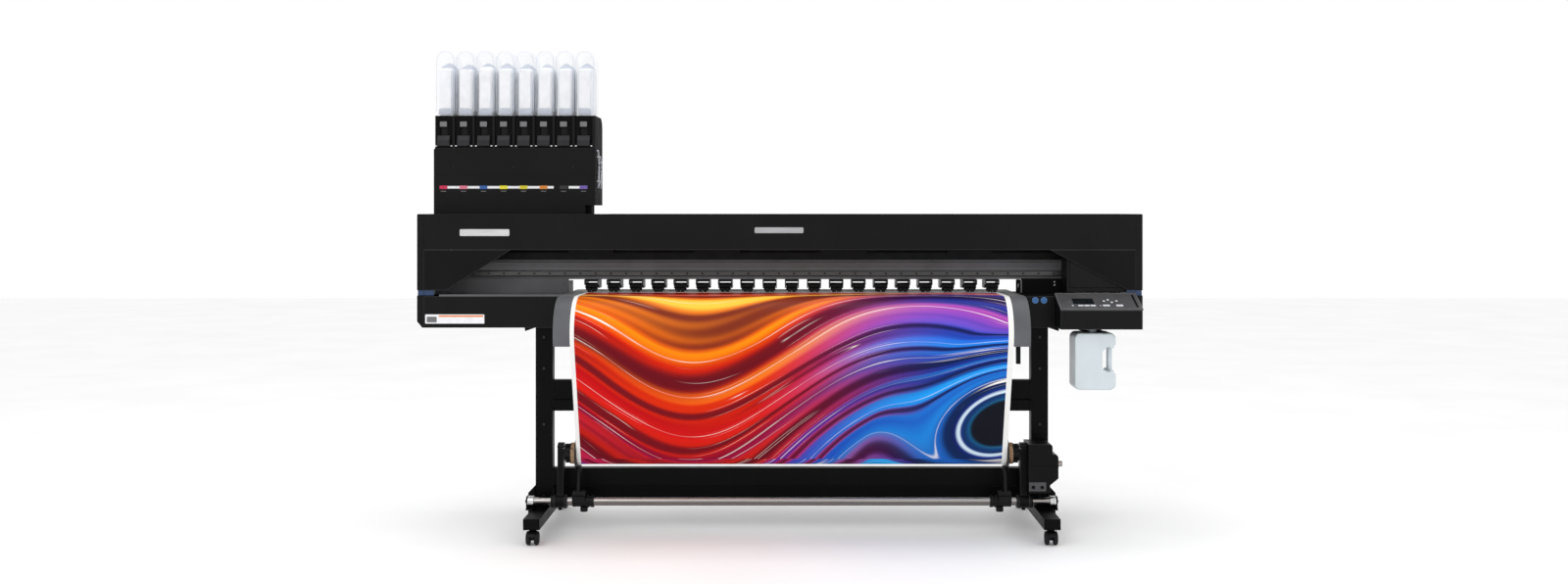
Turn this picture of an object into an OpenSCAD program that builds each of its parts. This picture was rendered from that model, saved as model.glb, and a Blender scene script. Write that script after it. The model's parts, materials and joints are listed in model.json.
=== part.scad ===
// Wide-format roll-to-roll inkjet printer on a castered stand, with a bag ink
// supply on top and a motor-driven take-up reel in front.
// X runs to the right, Y to the back, Z up; the origin is on the floor, in the
// middle of the machine's box.

/* [Body] */
// Width over the two end covers
body_w = 2775; // [2760:5:2790]
// Height of the body's top deck above the floor
deck_top = 1212; // [1208:1:1216]
// Height of the body's underside above the floor
frame_z = 777; // [776:1:777]
// Front face of the body's covers
front_y = -100; // [-101:0.5:-99]
// How far the stand and the media path sit right of the body's middle
stand_x = 46; // [42:1:48]

/* [Media] */
// Width of the media on the rolls
media_w = 1620; // [1500:10:1620]
// Height of the print table
table_z = 905; // [904:0.5:905]
// Radius of the curved paper guide in front of the table
guide_r = 131; // [129:1:131]
// Radius of the media wound on the take-up core
takeup_r = 42; // [41:0.5:60]
// Radius of the media left on the supply core
supply_r = 75; // [50:1:75]
// Number of pinch rollers across the table
pinch_count = 19; // [15:1:19]

/* [Stand] */
// Length of a foot beam, front to back
foot_len = 700; // [690:5:710]
// Half the distance between the two foot beams
foot_x = 950; // [948:1:952]
// Radius of a caster wheel
wheel_r = 25; // [24:0.5:26]

/* [Ink supply] */
// Number of ink packs
pack_count = 8; // [4:1:8]
// Distance between neighbouring packs
pack_pitch = 78.5; // [78:0.1:79]
// Top of the ink packs above the floor
pack_top = 1854; // [1800:1:1900]

/* [Hidden] */
$fn = 48;
eps = 0.2; // gap that keeps neighbouring solids apart
cut = 1; // how far a cutter runs past the surface that it opens
sheet = 3; // thickness of folded sheet covers

half_w = body_w / 2;
end_w = 25.5; // width of an end cover's front edge
inner_x = half_w - end_w; // where the front covers meet the end covers
rear_y = 330;
cover_z = 1075; // lower edge of the hinged front cover
wing_z = 921; // lower edge of the wing covers
accent_z = 900; // lower edge of the coloured accent strips

// stand
foot_w = 60;
foot_z = [60, 100];
foot_wall = 3;
post_w = 65;
post_y = [-85, -37];
post_wall = 2.5;
caster_y = foot_len / 2 - 46;
caster_trail = 16;
stem_r = 5;

// base pipe and take-up reel
pipe_y = -170;
pipe_z = 128;
pipe_r = 16;
pipe_half = 972;
cap_r = 21;
cap_len = 22.5;
reel_y = -141;
reel_z = 305;
core_r = 40;
core_bore = 38.1;
core_half = 834;
arm_x = [863, 886];
axle_r = 8;

// media path
media_t = 0.5;
lift = 0.2; // air between the media and what it slides over
roll_gap = 0.35; // air between the media web and the rolls that it leaves or joins
guide_y = -217.5;
guide_z = table_z - guide_r;
guide_half = 872;
rear_guide_y = 238;
rear_guide_r = 95;
rear_guide_z = table_z - rear_guide_r;
supply_y = 235;
supply_z = 690;
grit_y = 40;
grit_r = 15.6;
grit_z = table_z - lift - grit_r;
table_t = 8;

// print beam, rail and pinch rollers
beam_x = [-1250, 1330];
beam_y = [60, 160];
beam_z = [955, 1060];
rail_z = [969, 987];
rail_y = [45, 59.8];
rail_pitch = 60;
pinch_pitch = 87.3;
pinch_r = 9;
pinch_w = 44;
pinch_z = table_z + lift + media_t + 0.3 + pinch_r;
pinch_axis = [112, 932]; // Y and Z of the arms' pivot

// print carriage, parked at the right
carriage_x = [1100, 1335];
head_count = 4;

// control panel: a slab that slopes down to the front
panel_x = [1050, 1360];
panel_front = [-222, 857]; // Y and Z of the top front edge
panel_len = 132;
panel_t = 6;
panel_tilt = 23.3;
key_travel = 1.2;

// ink supply unit
ink_x = [-1359, -726];
ink_y = [40, 250];
ink_split = 1467; // where the rack stands on the case
rack_top = 1598;
pack_x0 = -1321; // centre of the first pack
pack_w = 74;
pack_y = [59, 233];
pack_z0 = 1480.5;

PACKS = [for (i = [1:pack_count]) str("ink_pack_", i)];
CORNERS = [["front_left", -1, -1], ["front_right", 1, -1], ["rear_left", -1, 1], ["rear_right", 1, 1]];
KEYS = [
    // name, X, distance up the slope, width, height
    ["key_left", 1131, 27, 20, 9],
    ["key_middle", 1154, 27, 20, 9],
    ["key_right", 1177, 27, 20, 9],
    ["key_arrows", 1249, 63, 66, 34],
    ["key_end", 1227, 28, 26, 13],
    ["key_enter", 1277, 28, 26, 13],
];

// ---- shared shapes ----

// A block given by its ranges in X, Y and Z
module block(x, y, z) {
    translate([x[0], y[0], z[0]]) cube([x[1] - x[0], y[1] - y[0], z[1] - z[0]]);
}

// A Y-Z outline drawn out along X
module along_x(x, outline) {
    translate([x[0], 0, 0]) rotate([90, 0, 90]) linear_extrude(x[1] - x[0]) polygon(outline);
}

// An X-Z outline drawn out along Y
module along_y(y, outline) {
    translate([0, y[1], 0]) rotate([90, 0, 0]) linear_extrude(y[1] - y[0]) polygon(outline);
}

// A round bar along X
module rod(x, y, z, r) {
    translate([x[0], y, z]) rotate([0, 90, 0]) cylinder(h = x[1] - x[0], r = r);
}

module tube(x, y, z, r_out, r_in) {
    difference() {
        rod(x, y, z, r_out);
        rod([x[0] - cut, x[1] + cut], y, z, r_in);
    }
}

// Part of a tube along X, from angle a0 through a; 0 is to the back and 90 is up
module curved_sheet(x, y, z, r_in, r_out, a0, a) {
    translate([x[0], y, z]) rotate([90, 0, 90]) rotate([0, 0, a0])
        rotate_extrude(angle = a, $fn = 96) translate([r_in, 0]) square([r_out - r_in, x[1] - x[0]]);
}

// The same thing on both sides of the stand's middle plane
module both_sides() {
    translate([stand_x, 0, 0]) {
        children();
        mirror([1, 0, 0]) children();
    }
}

function arc(c, r, a0, a1, n) = [for (i = [0:n]) let(a = a0 + (a1 - a0) * i / n) c + r * [cos(a), sin(a)]];
function from_stand(x) = [stand_x - x, stand_x + x];
function dir(a) = [cos(a), sin(a)];
function head_x(i) = carriage_x[0] + 50 + 45 * i;

// ---- stand ----

module foot_beams() {
    x = [foot_x - foot_w / 2, foot_x + foot_w / 2];
    y = [-foot_len / 2, foot_len / 2];
    plug = 6;
    color("#1c1c1e") both_sides() {
        difference() {
            block(x, y, foot_z);
            block(x + [foot_wall, -foot_wall], y + [-cut, cut], foot_z + [foot_wall, -foot_wall]);
            for (s = [-1, 1])
                translate([foot_x, s * caster_y, foot_z[0] - cut])
                    cylinder(h = foot_wall + 2 * cut, r = stem_r + 0.1);
        }
        for (s = [-1, 1])
            block(
                x + [foot_wall + eps, -foot_wall - eps],
                s < 0 ? [y[0], y[0] + plug] : [y[1] - plug, y[1]],
                foot_z + [foot_wall + eps, -foot_wall - eps]
            );
    }
}

module stand_posts() {
    x = [foot_x - post_w / 2, foot_x + post_w / 2];
    color("#18181a") both_sides() difference() {
        block(x, post_y, [foot_z[1], frame_z]);
        block(x + [post_wall, -post_wall], post_y + [post_wall, -post_wall], [foot_z[1] - cut, frame_z + cut]);
    }
}

// A lipped channel between the posts whose front steps out at height zs
module step_channel(z, zs, y_front, step) {
    t = sheet;
    back = -44;
    y1 = y_front;
    y0 = y_front - step;
    along_x(from_stand(foot_x - post_w / 2 - eps), [
        [back, z[0]], [y1, z[0]], [y1, zs], [y0, zs + step], [y0, z[1]], [back, z[1]],
        [back, z[1] - t], [y0 + t, z[1] - t], [y0 + t, zs + step + t / 2], [y1 + t, zs + t / 2],
        [y1 + t, z[0] + t], [back, z[0] + t],
    ]);
}

module crossbeams() {
    color("#161617") {
        step_channel([456, 575], 498, -76, 5);
        step_channel([106, 238], 166, -76, 6);
    }
}

module support_brackets() {
    out = foot_x + post_w / 2 + eps;
    color("#141415") {
        both_sides() {
            // foot of each post
            along_y([-92, -25], [
                [out, foot_z[1] - eps], [out, 173], [1010, 144], [1010, 62],
                [foot_x + foot_w / 2 + eps, 62], [foot_x + foot_w / 2 + eps, foot_z[1] - eps],
            ]);
            // wedges under the body beside each post
            along_y([-90, -30], [[out, frame_z - eps], [1024, frame_z - eps], [1022, frame_z - 14]]);
            // seats of the base pipe
            block([pipe_half, 998.5], [-202, -138], [foot_z[1] + eps, 106.5]);
            block([pipe_half + cap_len + 0.7, 998.5], [-195, -145], [106.4, 150]);
            // hangers of the supply roll
            difference() {
                along_x([850, 856], concat(
                    [[300, frame_z - eps], [180, frame_z - eps], [205, supply_z]],
                    arc([supply_y, supply_z], 30, 180, 360, 16)
                ));
                rod([849, 857], supply_y, supply_z, 15.1);
            }
        }
        // fork that carries the waste tank by its neck
        difference() {
            union() {
                block([1140, 1222], [-205, -60], [769, 772]);
                block([1140, 1222], [-85, -60], [771.9, frame_z - eps]);
            }
            block([1163.5, 1198.5], [-206, -140], [768, 773]);
            translate([1181, -140, 768]) cylinder(h = 5, r = 17.5);
        }
    }
}

module bolt_head(r, h) {
    cylinder(h = h, r = r, $fn = 6);
    cylinder(h = h + 1.5, r = r * 0.55);
}

module stand_bolts() {
    color("#8a8a8c") both_sides() {
        for (z = [130, 406, 620, 740])
            translate([foot_x, post_y[0] - eps, z]) rotate([90, 0, 0]) bolt_head(6, 4);
        for (z = [80, 125])
            for (y = [-80, -45])
                translate([1010 + eps, y, z]) rotate([0, 90, 0]) bolt_head(6, 4);
        translate([998.5 + eps, pipe_y, pipe_z]) rotate([0, 90, 0]) bolt_head(8, 5);
        for (y = [200, 280])
            translate([856 + eps, y, frame_z - 25]) rotate([0, 90, 0]) bolt_head(6, 4);
    }
}

module base_pipe() {
    color("#c9c5bf") {
        tube(from_stand(pipe_half), pipe_y, pipe_z, pipe_r, pipe_r - 2.5);
        both_sides() difference() {
            union() {
                rod([pipe_half + eps, pipe_half + cap_len], pipe_y, pipe_z, cap_r);
                rod([pipe_half - 20, pipe_half + cap_len], pipe_y, pipe_z, pipe_r - 2.7);
            }
            for (i = [0:2])
                tube([pipe_half + 4 + 6 * i, pipe_half + 5.5 + 6 * i], pipe_y, pipe_z, cap_r + cut, cap_r - 1);
        }
    }
}

// Slim guide arms that stand on the pipe at the edges of the media
module guide_arms() {
    color("#101011") both_sides() {
        difference() {
            union() {
                rod([746, 826], pipe_y, pipe_z, 20);
                rod([746, 756], pipe_y, pipe_z, 22);
                rod([766, 771], pipe_y, pipe_z, 24);
                block([777, 826], [-196, -144], [pipe_z, 166]);
                along_x([799, 809], [[-188, 160], [-166, 258], [-128, 258], [-150, 160]]);
            }
            rod([745, 827], pipe_y, pipe_z, pipe_r + 0.05);
            block([776, 827], [-197, -186], [150, 167]);
        }
        translate([784, pipe_y, 91]) cylinder(h = 17.5, r = 14, $fn = 24);
    }
}

// ---- body ----

module machine_frame() {
    x = [-1355, 1355];
    y = [-92, 235];
    z = [frame_z, table_z - table_t - eps];
    floor_z = z[0] + sheet + eps;
    color("#1a1a1b") {
        difference() {
            block(x, y, [z[0], z[0] + sheet]);
            // service slots in the floor
            for (sx = [-1200:300:1200])
                block([sx - 60, sx + 60], [70, 100], [z[0] - cut, z[0] + sheet + cut]);
        }
        // walls of the tray
        for (wy = [y[0], y[1] - sheet])
            block(x, [wy, wy + sheet], [floor_z, z[1]]);
        for (wx = [x[0], x[1] - sheet])
            block([wx, wx + sheet], y + [sheet + eps, -sheet - eps], [floor_z, z[1]]);
        // ribs, open around the feed roller
        for (rx = [-1185:240:1000]) {
            block([rx, rx + sheet], [y[0] + sheet + eps, 20], [floor_z, z[1]]);
            block([rx, rx + sheet], [60, y[1] - sheet - eps], [floor_z, z[1]]);
        }
        // end plates that carry the print beam
        for (ex = [beam_x[0] - 8.2, beam_x[1] + eps])
            block([ex, ex + 8], [50, 225], [floor_z, beam_z[1] + 10]);
        // housing of the carriage belt's pulley
        block([-1345, -1264], [60, 200], [floor_z, 1050]);
        // capping station under the parked carriage, with a cap for each print head
        block(carriage_x + [5, -10], [-70, 15], [floor_z, 900]);
        for (i = [0:head_count - 1])
            block([head_x(i) - 18, head_x(i) + 18], [-60, 5], [899, 908]);
    }
}

module lower_front_cover() {
    z = [frame_z, table_z - table_t - eps];
    color("#1d1d1f") along_x([-inner_x + eps, panel_x[0] - eps], [
        [front_y, z[0]], [front_y, z[1]], [front_y + sheet, z[1]],
        [front_y + sheet, z[0] + sheet], [-92.2, z[0] + sheet], [-92.2, z[0]],
    ]);
}

// Puts a shape on the control panel: X, up the slope, and out of the panel
module on_panel() {
    translate([0, panel_front[0], panel_front[1]]) rotate([panel_tilt, 0, 0]) children();
}

module control_box() {
    x = panel_x + [2, -2];
    y = [-219, front_y - eps];
    color("#1c1c1e") difference() {
        block(x, y, [780, 912]);
        block(x + [sheet, -sheet], [y[0] + sheet, y[1] + cut], [780 + sheet, 920]);
        on_panel() translate([x[0] - 50, -50, -panel_t - eps]) cube([500, 300, 200]);
        for (i = [0:5])
            block([1290 + i * 9, 1294 + i * 9], [-180, -130], [779, 784]);
    }
}

// A key's outline on the panel, with round corners
module key_outline(k, grow) {
    w = k[3] / 2 + grow;
    h = k[4] / 2 + grow;
    r = min(w, h) * 0.45;
    translate([k[1], k[2]]) polygon(concat(
        arc([w - r, h - r], r, 0, 90, 8), arc([r - w, h - r], r, 90, 180, 8),
        arc([r - w, r - h], r, 180, 270, 8), arc([w - r, r - h], r, 270, 360, 8)
    ));
}

module control_panel() {
    color("#3a3a3d") on_panel() difference() {
        translate([panel_x[0], 0, -panel_t]) cube([panel_x[1] - panel_x[0], panel_len, panel_t]);
        for (k = KEYS)
            translate([0, 0, -panel_t - cut]) linear_extrude(panel_t + 2 * cut) key_outline(k, 0.4);
        translate([1106, 42, -1.2]) cube([80, 46, 5]);
        translate([1338, 12, -2]) cube([8, 108, 5]);
    }
}

module key(k) {
    color("#d9dadc") on_panel() {
        translate([0, 0, -4]) linear_extrude(5.6) key_outline(k, 0);
        translate([0, 0, -panel_t - 1]) linear_extrude(4.5) key_outline(k, -1.2);
    }
}

// A front wing: a plate whose slanted edge is folded back
module wing(outline, low, high) {
    depth = 10;
    n = [low[1] - high[1], high[0] - low[0]] / norm(high - low);
    side = n[0] * (outline[0][0] - low[0]) > 0 ? 1 : -1;
    along_y([front_y, front_y + 4], outline);
    intersection() {
        along_y([front_y + 3.9, front_y + depth], [low, high, high + side * 3 * n, low + side * 3 * n]);
        block([-half_w, half_w], [front_y, 0], [low[1], high[1]]);
    }
}

module wing_covers() {
    top = cover_z - 1;
    color("#1b1b1d") {
        wing([[-inner_x + eps, wing_z], [-1278, wing_z], [-1031, top], [-inner_x + eps, top]],
            [-1278, wing_z], [-1031, top]);
        wing([[inner_x - eps, wing_z], [1331, wing_z], [1035, top], [inner_x - eps, top]],
            [1331, wing_z], [1035, top]);
    }
}

// An end cover is a shell, open towards the machine, with a groove for the accent strip
module end_cover() {
    x = [inner_x, half_w];
    bevel = 20;
    groove = [accent_z, wing_z];
    difference() {
        along_y([front_y, rear_y], [
            [x[0], frame_z], [x[1] - bevel, frame_z], [x[1], frame_z + bevel + 4],
            [x[1], deck_top - 3], [x[1] - 3, deck_top], [x[0], deck_top],
        ]);
        block([x[0] - cut, x[1] - sheet], [front_y + sheet, rear_y - sheet], [frame_z + 28, deck_top - sheet]);
        block([x[0] - cut, x[1] + cut], [front_y - cut, front_y + 8], groove);
        block([x[1] - 2.5, x[1] + cut], [front_y - cut, rear_y - 30], groove);
    }
}

module side_covers() {
    mid = accent_z + 10.5;
    color("#1d1d1f") {
        end_cover();
        mirror([1, 0, 0]) end_cover();
    }
    color("#12406e") {
        for (m = [0, 1])
            mirror([m, 0, 0]) {
                block([inner_x + eps, half_w - 3.5], [front_y + 3.2, front_y + 7.5], [accent_z + eps, wing_z - eps]);
                block([half_w - 2.3, half_w - 1], [front_y + 9, rear_y - 31], [accent_z + eps, wing_z - eps]);
            }
        block([-inner_x + eps, -1324], [front_y + 4, front_y + 8], [accent_z + eps, wing_z - eps]);
        block([1326, inner_x - eps], [front_y + 4, front_y + 8], [mid, wing_z - eps]);
    }
}

module rear_cover() {
    x = [-inner_x + eps, inner_x - eps];
    z = 962;
    ink_edge = -690;
    inlet = [1200, 1000];
    color("#1d1d1f") difference() {
        union() {
            along_x(x, [
                [31, deck_top - 4], [31, deck_top], [rear_y + 3, deck_top], [rear_y + 3, z], [rear_y - 12, z],
                [rear_y - 12, z + sheet], [rear_y, z + sheet], [rear_y, deck_top - 4],
            ]);
            block([inlet[0] - 24, inlet[0] + 24], [rear_y - 26, rear_y + 1], [inlet[1] - 16, inlet[1] + 16]);
        }
        // socket of the mains lead
        block([inlet[0] - 14, inlet[0] + 14], [rear_y - 20, rear_y + 4], [inlet[1] - 10, inlet[1] + 10]);
        // the seat of the ink supply unit lies a little lower
        block([x[0] - cut, ink_edge], [30, rear_y + 4], [deck_top - 1.5, deck_top + cut]);
        // louvres
        for (lx = [-1100:200:1100])
            for (i = [0:5])
                block([lx - 60, lx + 60], [rear_y - cut, rear_y + 4], [1040 + i * 12, 1045 + i * 12]);
    }
    // the socket's three blades
    color("#b8b8b8") for (i = [-1:1]) {
        bx = inlet[0] + 7 * i;
        bz = inlet[1] + (i == 0 ? 3 : -3);
        block([bx - 1, bx + 1], [rear_y - 20.1, rear_y - 4], [bz - 2, bz + 2]);
    }
}

module y_beam() {
    y = beam_y[0];
    z = beam_z[0];
    top = beam_z[1];
    color("#5a5a5d") difference() {
        along_x(beam_x, [
            [y, z], [y, 966], [y + 4, 967], [y + 4, 968], [y, 968.5], [y, 988], [y + 4, 989], [y + 4, 1003],
            [y, 1005], [y + 6, 1022], [y + 18, 1024], [y + 18, 1030], [y + 30, 1032], [y + 30, top],
            [beam_y[1], top], [beam_y[1], z],
        ]);
        block(beam_x + [-cut, cut], [y + 36, beam_y[1] - 6], [963, 1000]);
        block(beam_x + [-cut, cut], [y + 36, beam_y[1] - 6], [1008, 1052]);
    }
    color("#121213") {
        // cable tray on the beam
        difference() {
            block(beam_x + [40, -40], [y + 50, beam_y[1] - 2], [top + eps, top + 25]);
            block(beam_x + [39, -39], [y + 53, beam_y[1] - 5], [top + 3, top + 26]);
        }
        // clips that hold the tray on the beam's front edge
        for (cx = [-750:500:750])
            along_x([cx - 90, cx + 90], [
                [y + 25, top - 14], [y + 25, top + 10], [y + 50 - eps, top + 10],
                [y + 50 - eps, top + eps], [y + 30 - eps, top + eps], [y + 30 - eps, top - 14],
            ]);
    }
}

module linear_rail() {
    x = [beam_x[0] + 10, beam_x[1] - 10];
    m = (rail_z[0] + rail_z[1]) / 2;
    first = x[0] + 35;
    color("#b9b6b0") difference() {
        along_x(x, [
            [rail_y[1], rail_z[0]], [rail_y[0] + 9, rail_z[0]], [rail_y[0] + 6, rail_z[0] + 3],
            [rail_y[0] + 3, rail_z[0]], [rail_y[0], rail_z[0] + 1.5], [rail_y[0], rail_z[1] - 1.5],
            [rail_y[0] + 3, rail_z[1]], [rail_y[0] + 6, rail_z[1] - 3], [rail_y[0] + 9, rail_z[1]],
            [rail_y[1], rail_z[1]],
        ]);
        for (hx = [first:rail_pitch:x[1] - 20])
            translate([hx, rail_y[0] + 7, m]) rotate([90, 0, 0]) cylinder(h = 10, r = 3.4, $fn = 20);
    }
}

function pinch_x(i) = stand_x + (i - (pinch_count - 1) / 2) * pinch_pitch;

// Fixed housings under the beam, one for each pinch roller arm
module pinch_holders() {
    color("#0d0d0e") for (i = [0:pinch_count - 1]) difference() {
        block([pinch_x(i) - 27.5, pinch_x(i) + 27.5], [30, 128], [920, beam_z[0] - eps]);
        block([pinch_x(i) - 23.5, pinch_x(i) + 23.5], [29, 129], [919, 947]);
        block([pinch_x(i) - 30, pinch_x(i) - 21], [29, 58], [919, 934]);
        block([pinch_x(i) + 21, pinch_x(i) + 30], [29, 58], [919, 934]);
        rod([pinch_x(i) - 28, pinch_x(i) + 28], pinch_axis[0], pinch_axis[1], 4.1);
    }
}

// The arms share one pivot line and rise together
module pinch_arms() {
    color("#0f0f10") for (i = [0:pinch_count - 1]) difference() {
        union() {
            along_x([pinch_x(i) - 22.5, pinch_x(i) + 22.5], [
                [34, 920], [34, 935], [60, 939], [118, 939], [122, 932], [118, 924], [60, 922], [52, 912], [44, 912],
            ]);
            rod([pinch_x(i) - 27, pinch_x(i) + 27], pinch_axis[0], pinch_axis[1], 4);
        }
        block([pinch_x(i) - 18, pinch_x(i) + 18], [28, 53], [905, 926]);
        rod([pinch_x(i) - 23, pinch_x(i) + 23], grit_y, pinch_z, 3.2);
    }
}

module pinch_rollers() {
    color("#19191a") for (i = [0:pinch_count - 1]) {
        for (s = [-1, 1])
            rod([pinch_x(i) + s * 9 - 7, pinch_x(i) + s * 9 + 7], grit_y, pinch_z, pinch_r);
        rod([pinch_x(i) - pinch_w / 2, pinch_x(i) + pinch_w / 2], grit_y, pinch_z, 3);
    }
}

// An upright cover with a foot, behind the flat plates beside the table
module inner_cover(x, z) {
    block(x, [26, 29], [z[0], 959]);
    block(x, [22, 26.1], [z[0], z[1] - 1]);
}

module platen() {
    x = from_stand(guide_half - eps);
    left = [-1303, x[0] - 2 * eps];
    right = [x[1] + 3 * eps, carriage_x[0] - 2];
    z = [table_z - table_t, table_z];
    color("#8b8b8d") {
        // print table with shallow suction grooves
        difference() {
            block(x, [guide_y, 22], z);
            for (gx = [x[0] + 60:120:x[1] - 60])
                block([gx, gx + 3], [-190, 10], [z[1] - 1.5, z[1] + cut]);
        }
        // rear table, bent down towards the supply roll
        block(x, [58, rear_guide_y], z - [0, eps / 2]);
        curved_sheet(x, rear_guide_y - 0.05, rear_guide_z, rear_guide_r - 4, rear_guide_r - eps / 2, -11, 101);
        // bearings of the feed roller
        both_sides() difference() {
            block([guide_half - 10, guide_half + 8], [25, 55], [frame_z + sheet + eps, table_z - 2]);
            rod([guide_half - 11, guide_half + 9], grit_y, grit_z, axle_r + 0.05);
        }
        // flat plate and upright inner cover left of the table
        block(left, [front_y, 22 - eps], [z[0], z[1] - 1]);
        inner_cover([-1350, left[1]], z);
        // the same right of the table, up to the capping station
        block(right, [front_y + sheet, 22 - eps], [z[0], z[1] - 1]);
        inner_cover([943, 1150], z);
        // upright tabs beside the first and last pinch roller
        both_sides() difference() {
            block([877, 895], [24, 28], [table_z - 1, 956]);
            block([884, 888], [23, 29], [925, 940]);
        }
    }
}

module paper_guide() {
    x = from_stand(guide_half);
    color("#515256") {
        curved_sheet(x, guide_y, guide_z, guide_r - sheet, guide_r, 90, 110);
        block(x, [-338.6, -290], [guide_z - 46.5, guide_z - 43.2]);
        // upright ends, fixed to the lower front cover
        both_sides() along_x([guide_half - sheet, guide_half], concat(
            [[front_y - eps, guide_z - 46], [front_y - eps, table_z - table_t - eps], [guide_y, table_z - table_t - eps]],
            arc([guide_y, guide_z], guide_r - 2, 92, 199, 24)
        ));
        // small bracket that hangs below the right end
        block([stand_x + guide_half - 45, stand_x + guide_half - 30], [-300, -280], [660, guide_z - 46]);
    }
}

// The angle at which a straight web leaves circle a for circle b, both on the web's inner side
function leave_angle(a, ra, b, rb, side) =
    let(d = b - a, l = norm(d)) atan2(d[1], d[0]) + side * acos((ra - rb) / l);

function reversed(list) = [for (i = [len(list) - 1:-1:0]) list[i]];

// The media's path from the supply roll to the reel, seen from the side
function web_path(out) =
    let(
        rear_c = [rear_guide_y, rear_guide_z],
        front_c = [guide_y, guide_z],
        rear_r = rear_guide_r + lift,
        front_r = guide_r + lift,
        on_supply = supply_r + roll_gap,
        on_reel = takeup_r + roll_gap,
        rear_a = leave_angle(rear_c, rear_r, [supply_y, supply_z], on_supply, 1),
        front_a = leave_angle(front_c, front_r, [reel_y, reel_z], on_reel, -1)
    )
    concat(
        [[supply_y, supply_z] + (on_supply + out) * dir(rear_a)],
        arc(rear_c, rear_r + out, rear_a, 90, 36),
        arc(front_c, front_r + out, 90, front_a + 360, 44),
        [[reel_y, reel_z] + (on_reel + out) * dir(front_a)]
    );

module media_web() {
    color("#f4f4f2") along_x(from_stand(media_w / 2), concat(web_path(0), reversed(web_path(media_t))));
}

// ---- hinged cover and print carriage ----

module front_cover() {
    x = [-inner_x + eps, inner_x - eps];
    color("#1e1e20") {
        along_x(x, [
            [front_y, cover_z], [front_y, deck_top - 2], [front_y + 2, deck_top], [20, deck_top],
            [20, deck_top - sheet], [front_y + sheet, deck_top - sheet], [front_y + sheet, cover_z + sheet],
            [front_y + 20, cover_z + sheet], [front_y + 20, cover_z],
        ]);
        for (hx = [-1200:480:1200]) {
            rod([hx - 30, hx + 30], 22, deck_top - 7, 4);
            block([hx - 30, hx + 30], [12, 20], [deck_top - 8, deck_top - 2]);
        }
    }
}

module carriage() {
    x = carriage_x;
    color("#141416") {
        // head box, open at the top
        difference() {
            union() {
                block(x, [-84, 20], [912, 1046]);
                block(x + [12, -12], [-88, -83.9], [930, 1030]);
            }
            block(x + [14, -14], [-70, 10], [920, 1047]);
            for (i = [0:head_count - 1])
                block([head_x(i) - 10, head_x(i) + 10], [-60, 0], [911, 921]);
        }
        // bracket behind it, with a guide block at each end
        difference() {
            union() {
                block(x + [20, -20], [20 + eps, 40], [962, 1040]);
                block(x + [30, -30], [39.9, 57], [962, 994]);
            }
            block(x + [29, -29], [rail_y[0] - 0.3, 60], [rail_z[0] - 0.3, rail_z[1] + 0.3]);
            block(x + [100, -100], [40.1, 58], [961, 995]);
        }
    }
}

module grit_roller() {
    color("#9a9a9a") {
        rod(from_stand(guide_half - 11), grit_y, grit_z, grit_r - 1);
        for (i = [0:pinch_count - 1])
            rod([pinch_x(i) - 26, pinch_x(i) + 26], grit_y, grit_z, grit_r);
        rod(from_stand(guide_half + 6), grit_y, grit_z, axle_r);
    }
}

// ---- take-up reel ----

// The arm that stands on the pipe and holds one end of the reel; drawn for the right side
module takeup_arm() {
    bar_y = [-162, -120];
    top = 345;
    difference() {
        union() {
            rod([846, 907], pipe_y, pipe_z, 24);
            rod([850, 856], pipe_y, pipe_z, 26);
            rod([893, 899], pipe_y, pipe_z, 26);
            along_x(arm_x, [
                [bar_y[0] - 14, pipe_z], [bar_y[0], 190], [bar_y[0], top - 10], [bar_y[0] + 10, top],
                [bar_y[1] - 10, top], [bar_y[1], top - 10], [bar_y[1], 150], [bar_y[1] - 10, pipe_z],
            ]);
            block([arm_x[0] - 2, arm_x[1]], [bar_y[0] - 4, bar_y[1] + 4], [328, 337]);
            translate([874, pipe_y, 96]) cylinder(h = 12, r = 7);
        }
        rod([845, 908], pipe_y, pipe_z, pipe_r + 0.15);
        rod([arm_x[0] - cut, arm_x[1] + cut], reel_y, reel_z, axle_r + 0.1);
        // the latch gap over the spindle
        block([arm_x[0] - 3, arm_x[0] + 6], [bar_y[0] - 5, bar_y[1] + 5], [321, 326]);
    }
}

module hub() {
    rod([800, core_half], reel_y, reel_z, core_bore - 0.4);
    rod([core_half + 0.4, core_half + 4], reel_y, reel_z, core_r - 1);
    rod([core_half - 0.1, 860], reel_y, reel_z, 29);
    for (i = [0:5])
        rotate_about_reel(60 * i) block([core_half + 3.9, 858], [-3, 3], [20, 36]);
    rod([859.9, arm_x[1] - 1], reel_y, reel_z, axle_r);
}

module rotate_about_reel(a) {
    translate([0, reel_y, reel_z]) rotate([a, 0, 0]) children();
}

module on_right() { translate([stand_x, 0, 0]) children(); }
module on_left() { translate([stand_x, 0, 0]) mirror([1, 0, 0]) children(); }

module takeup_roll() {
    color("#8a6f52") tube(from_stand(core_half), reel_y, reel_z, core_r, core_bore);
    color("#f2f2f0") tube(from_stand(media_w / 2), reel_y, reel_z, takeup_r, core_r + 0.15);
    color("#121213") both_sides()
        tube([media_w / 2 + 2, media_w / 2 + 5], reel_y, reel_z, 70, core_r + 0.15);
}

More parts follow.
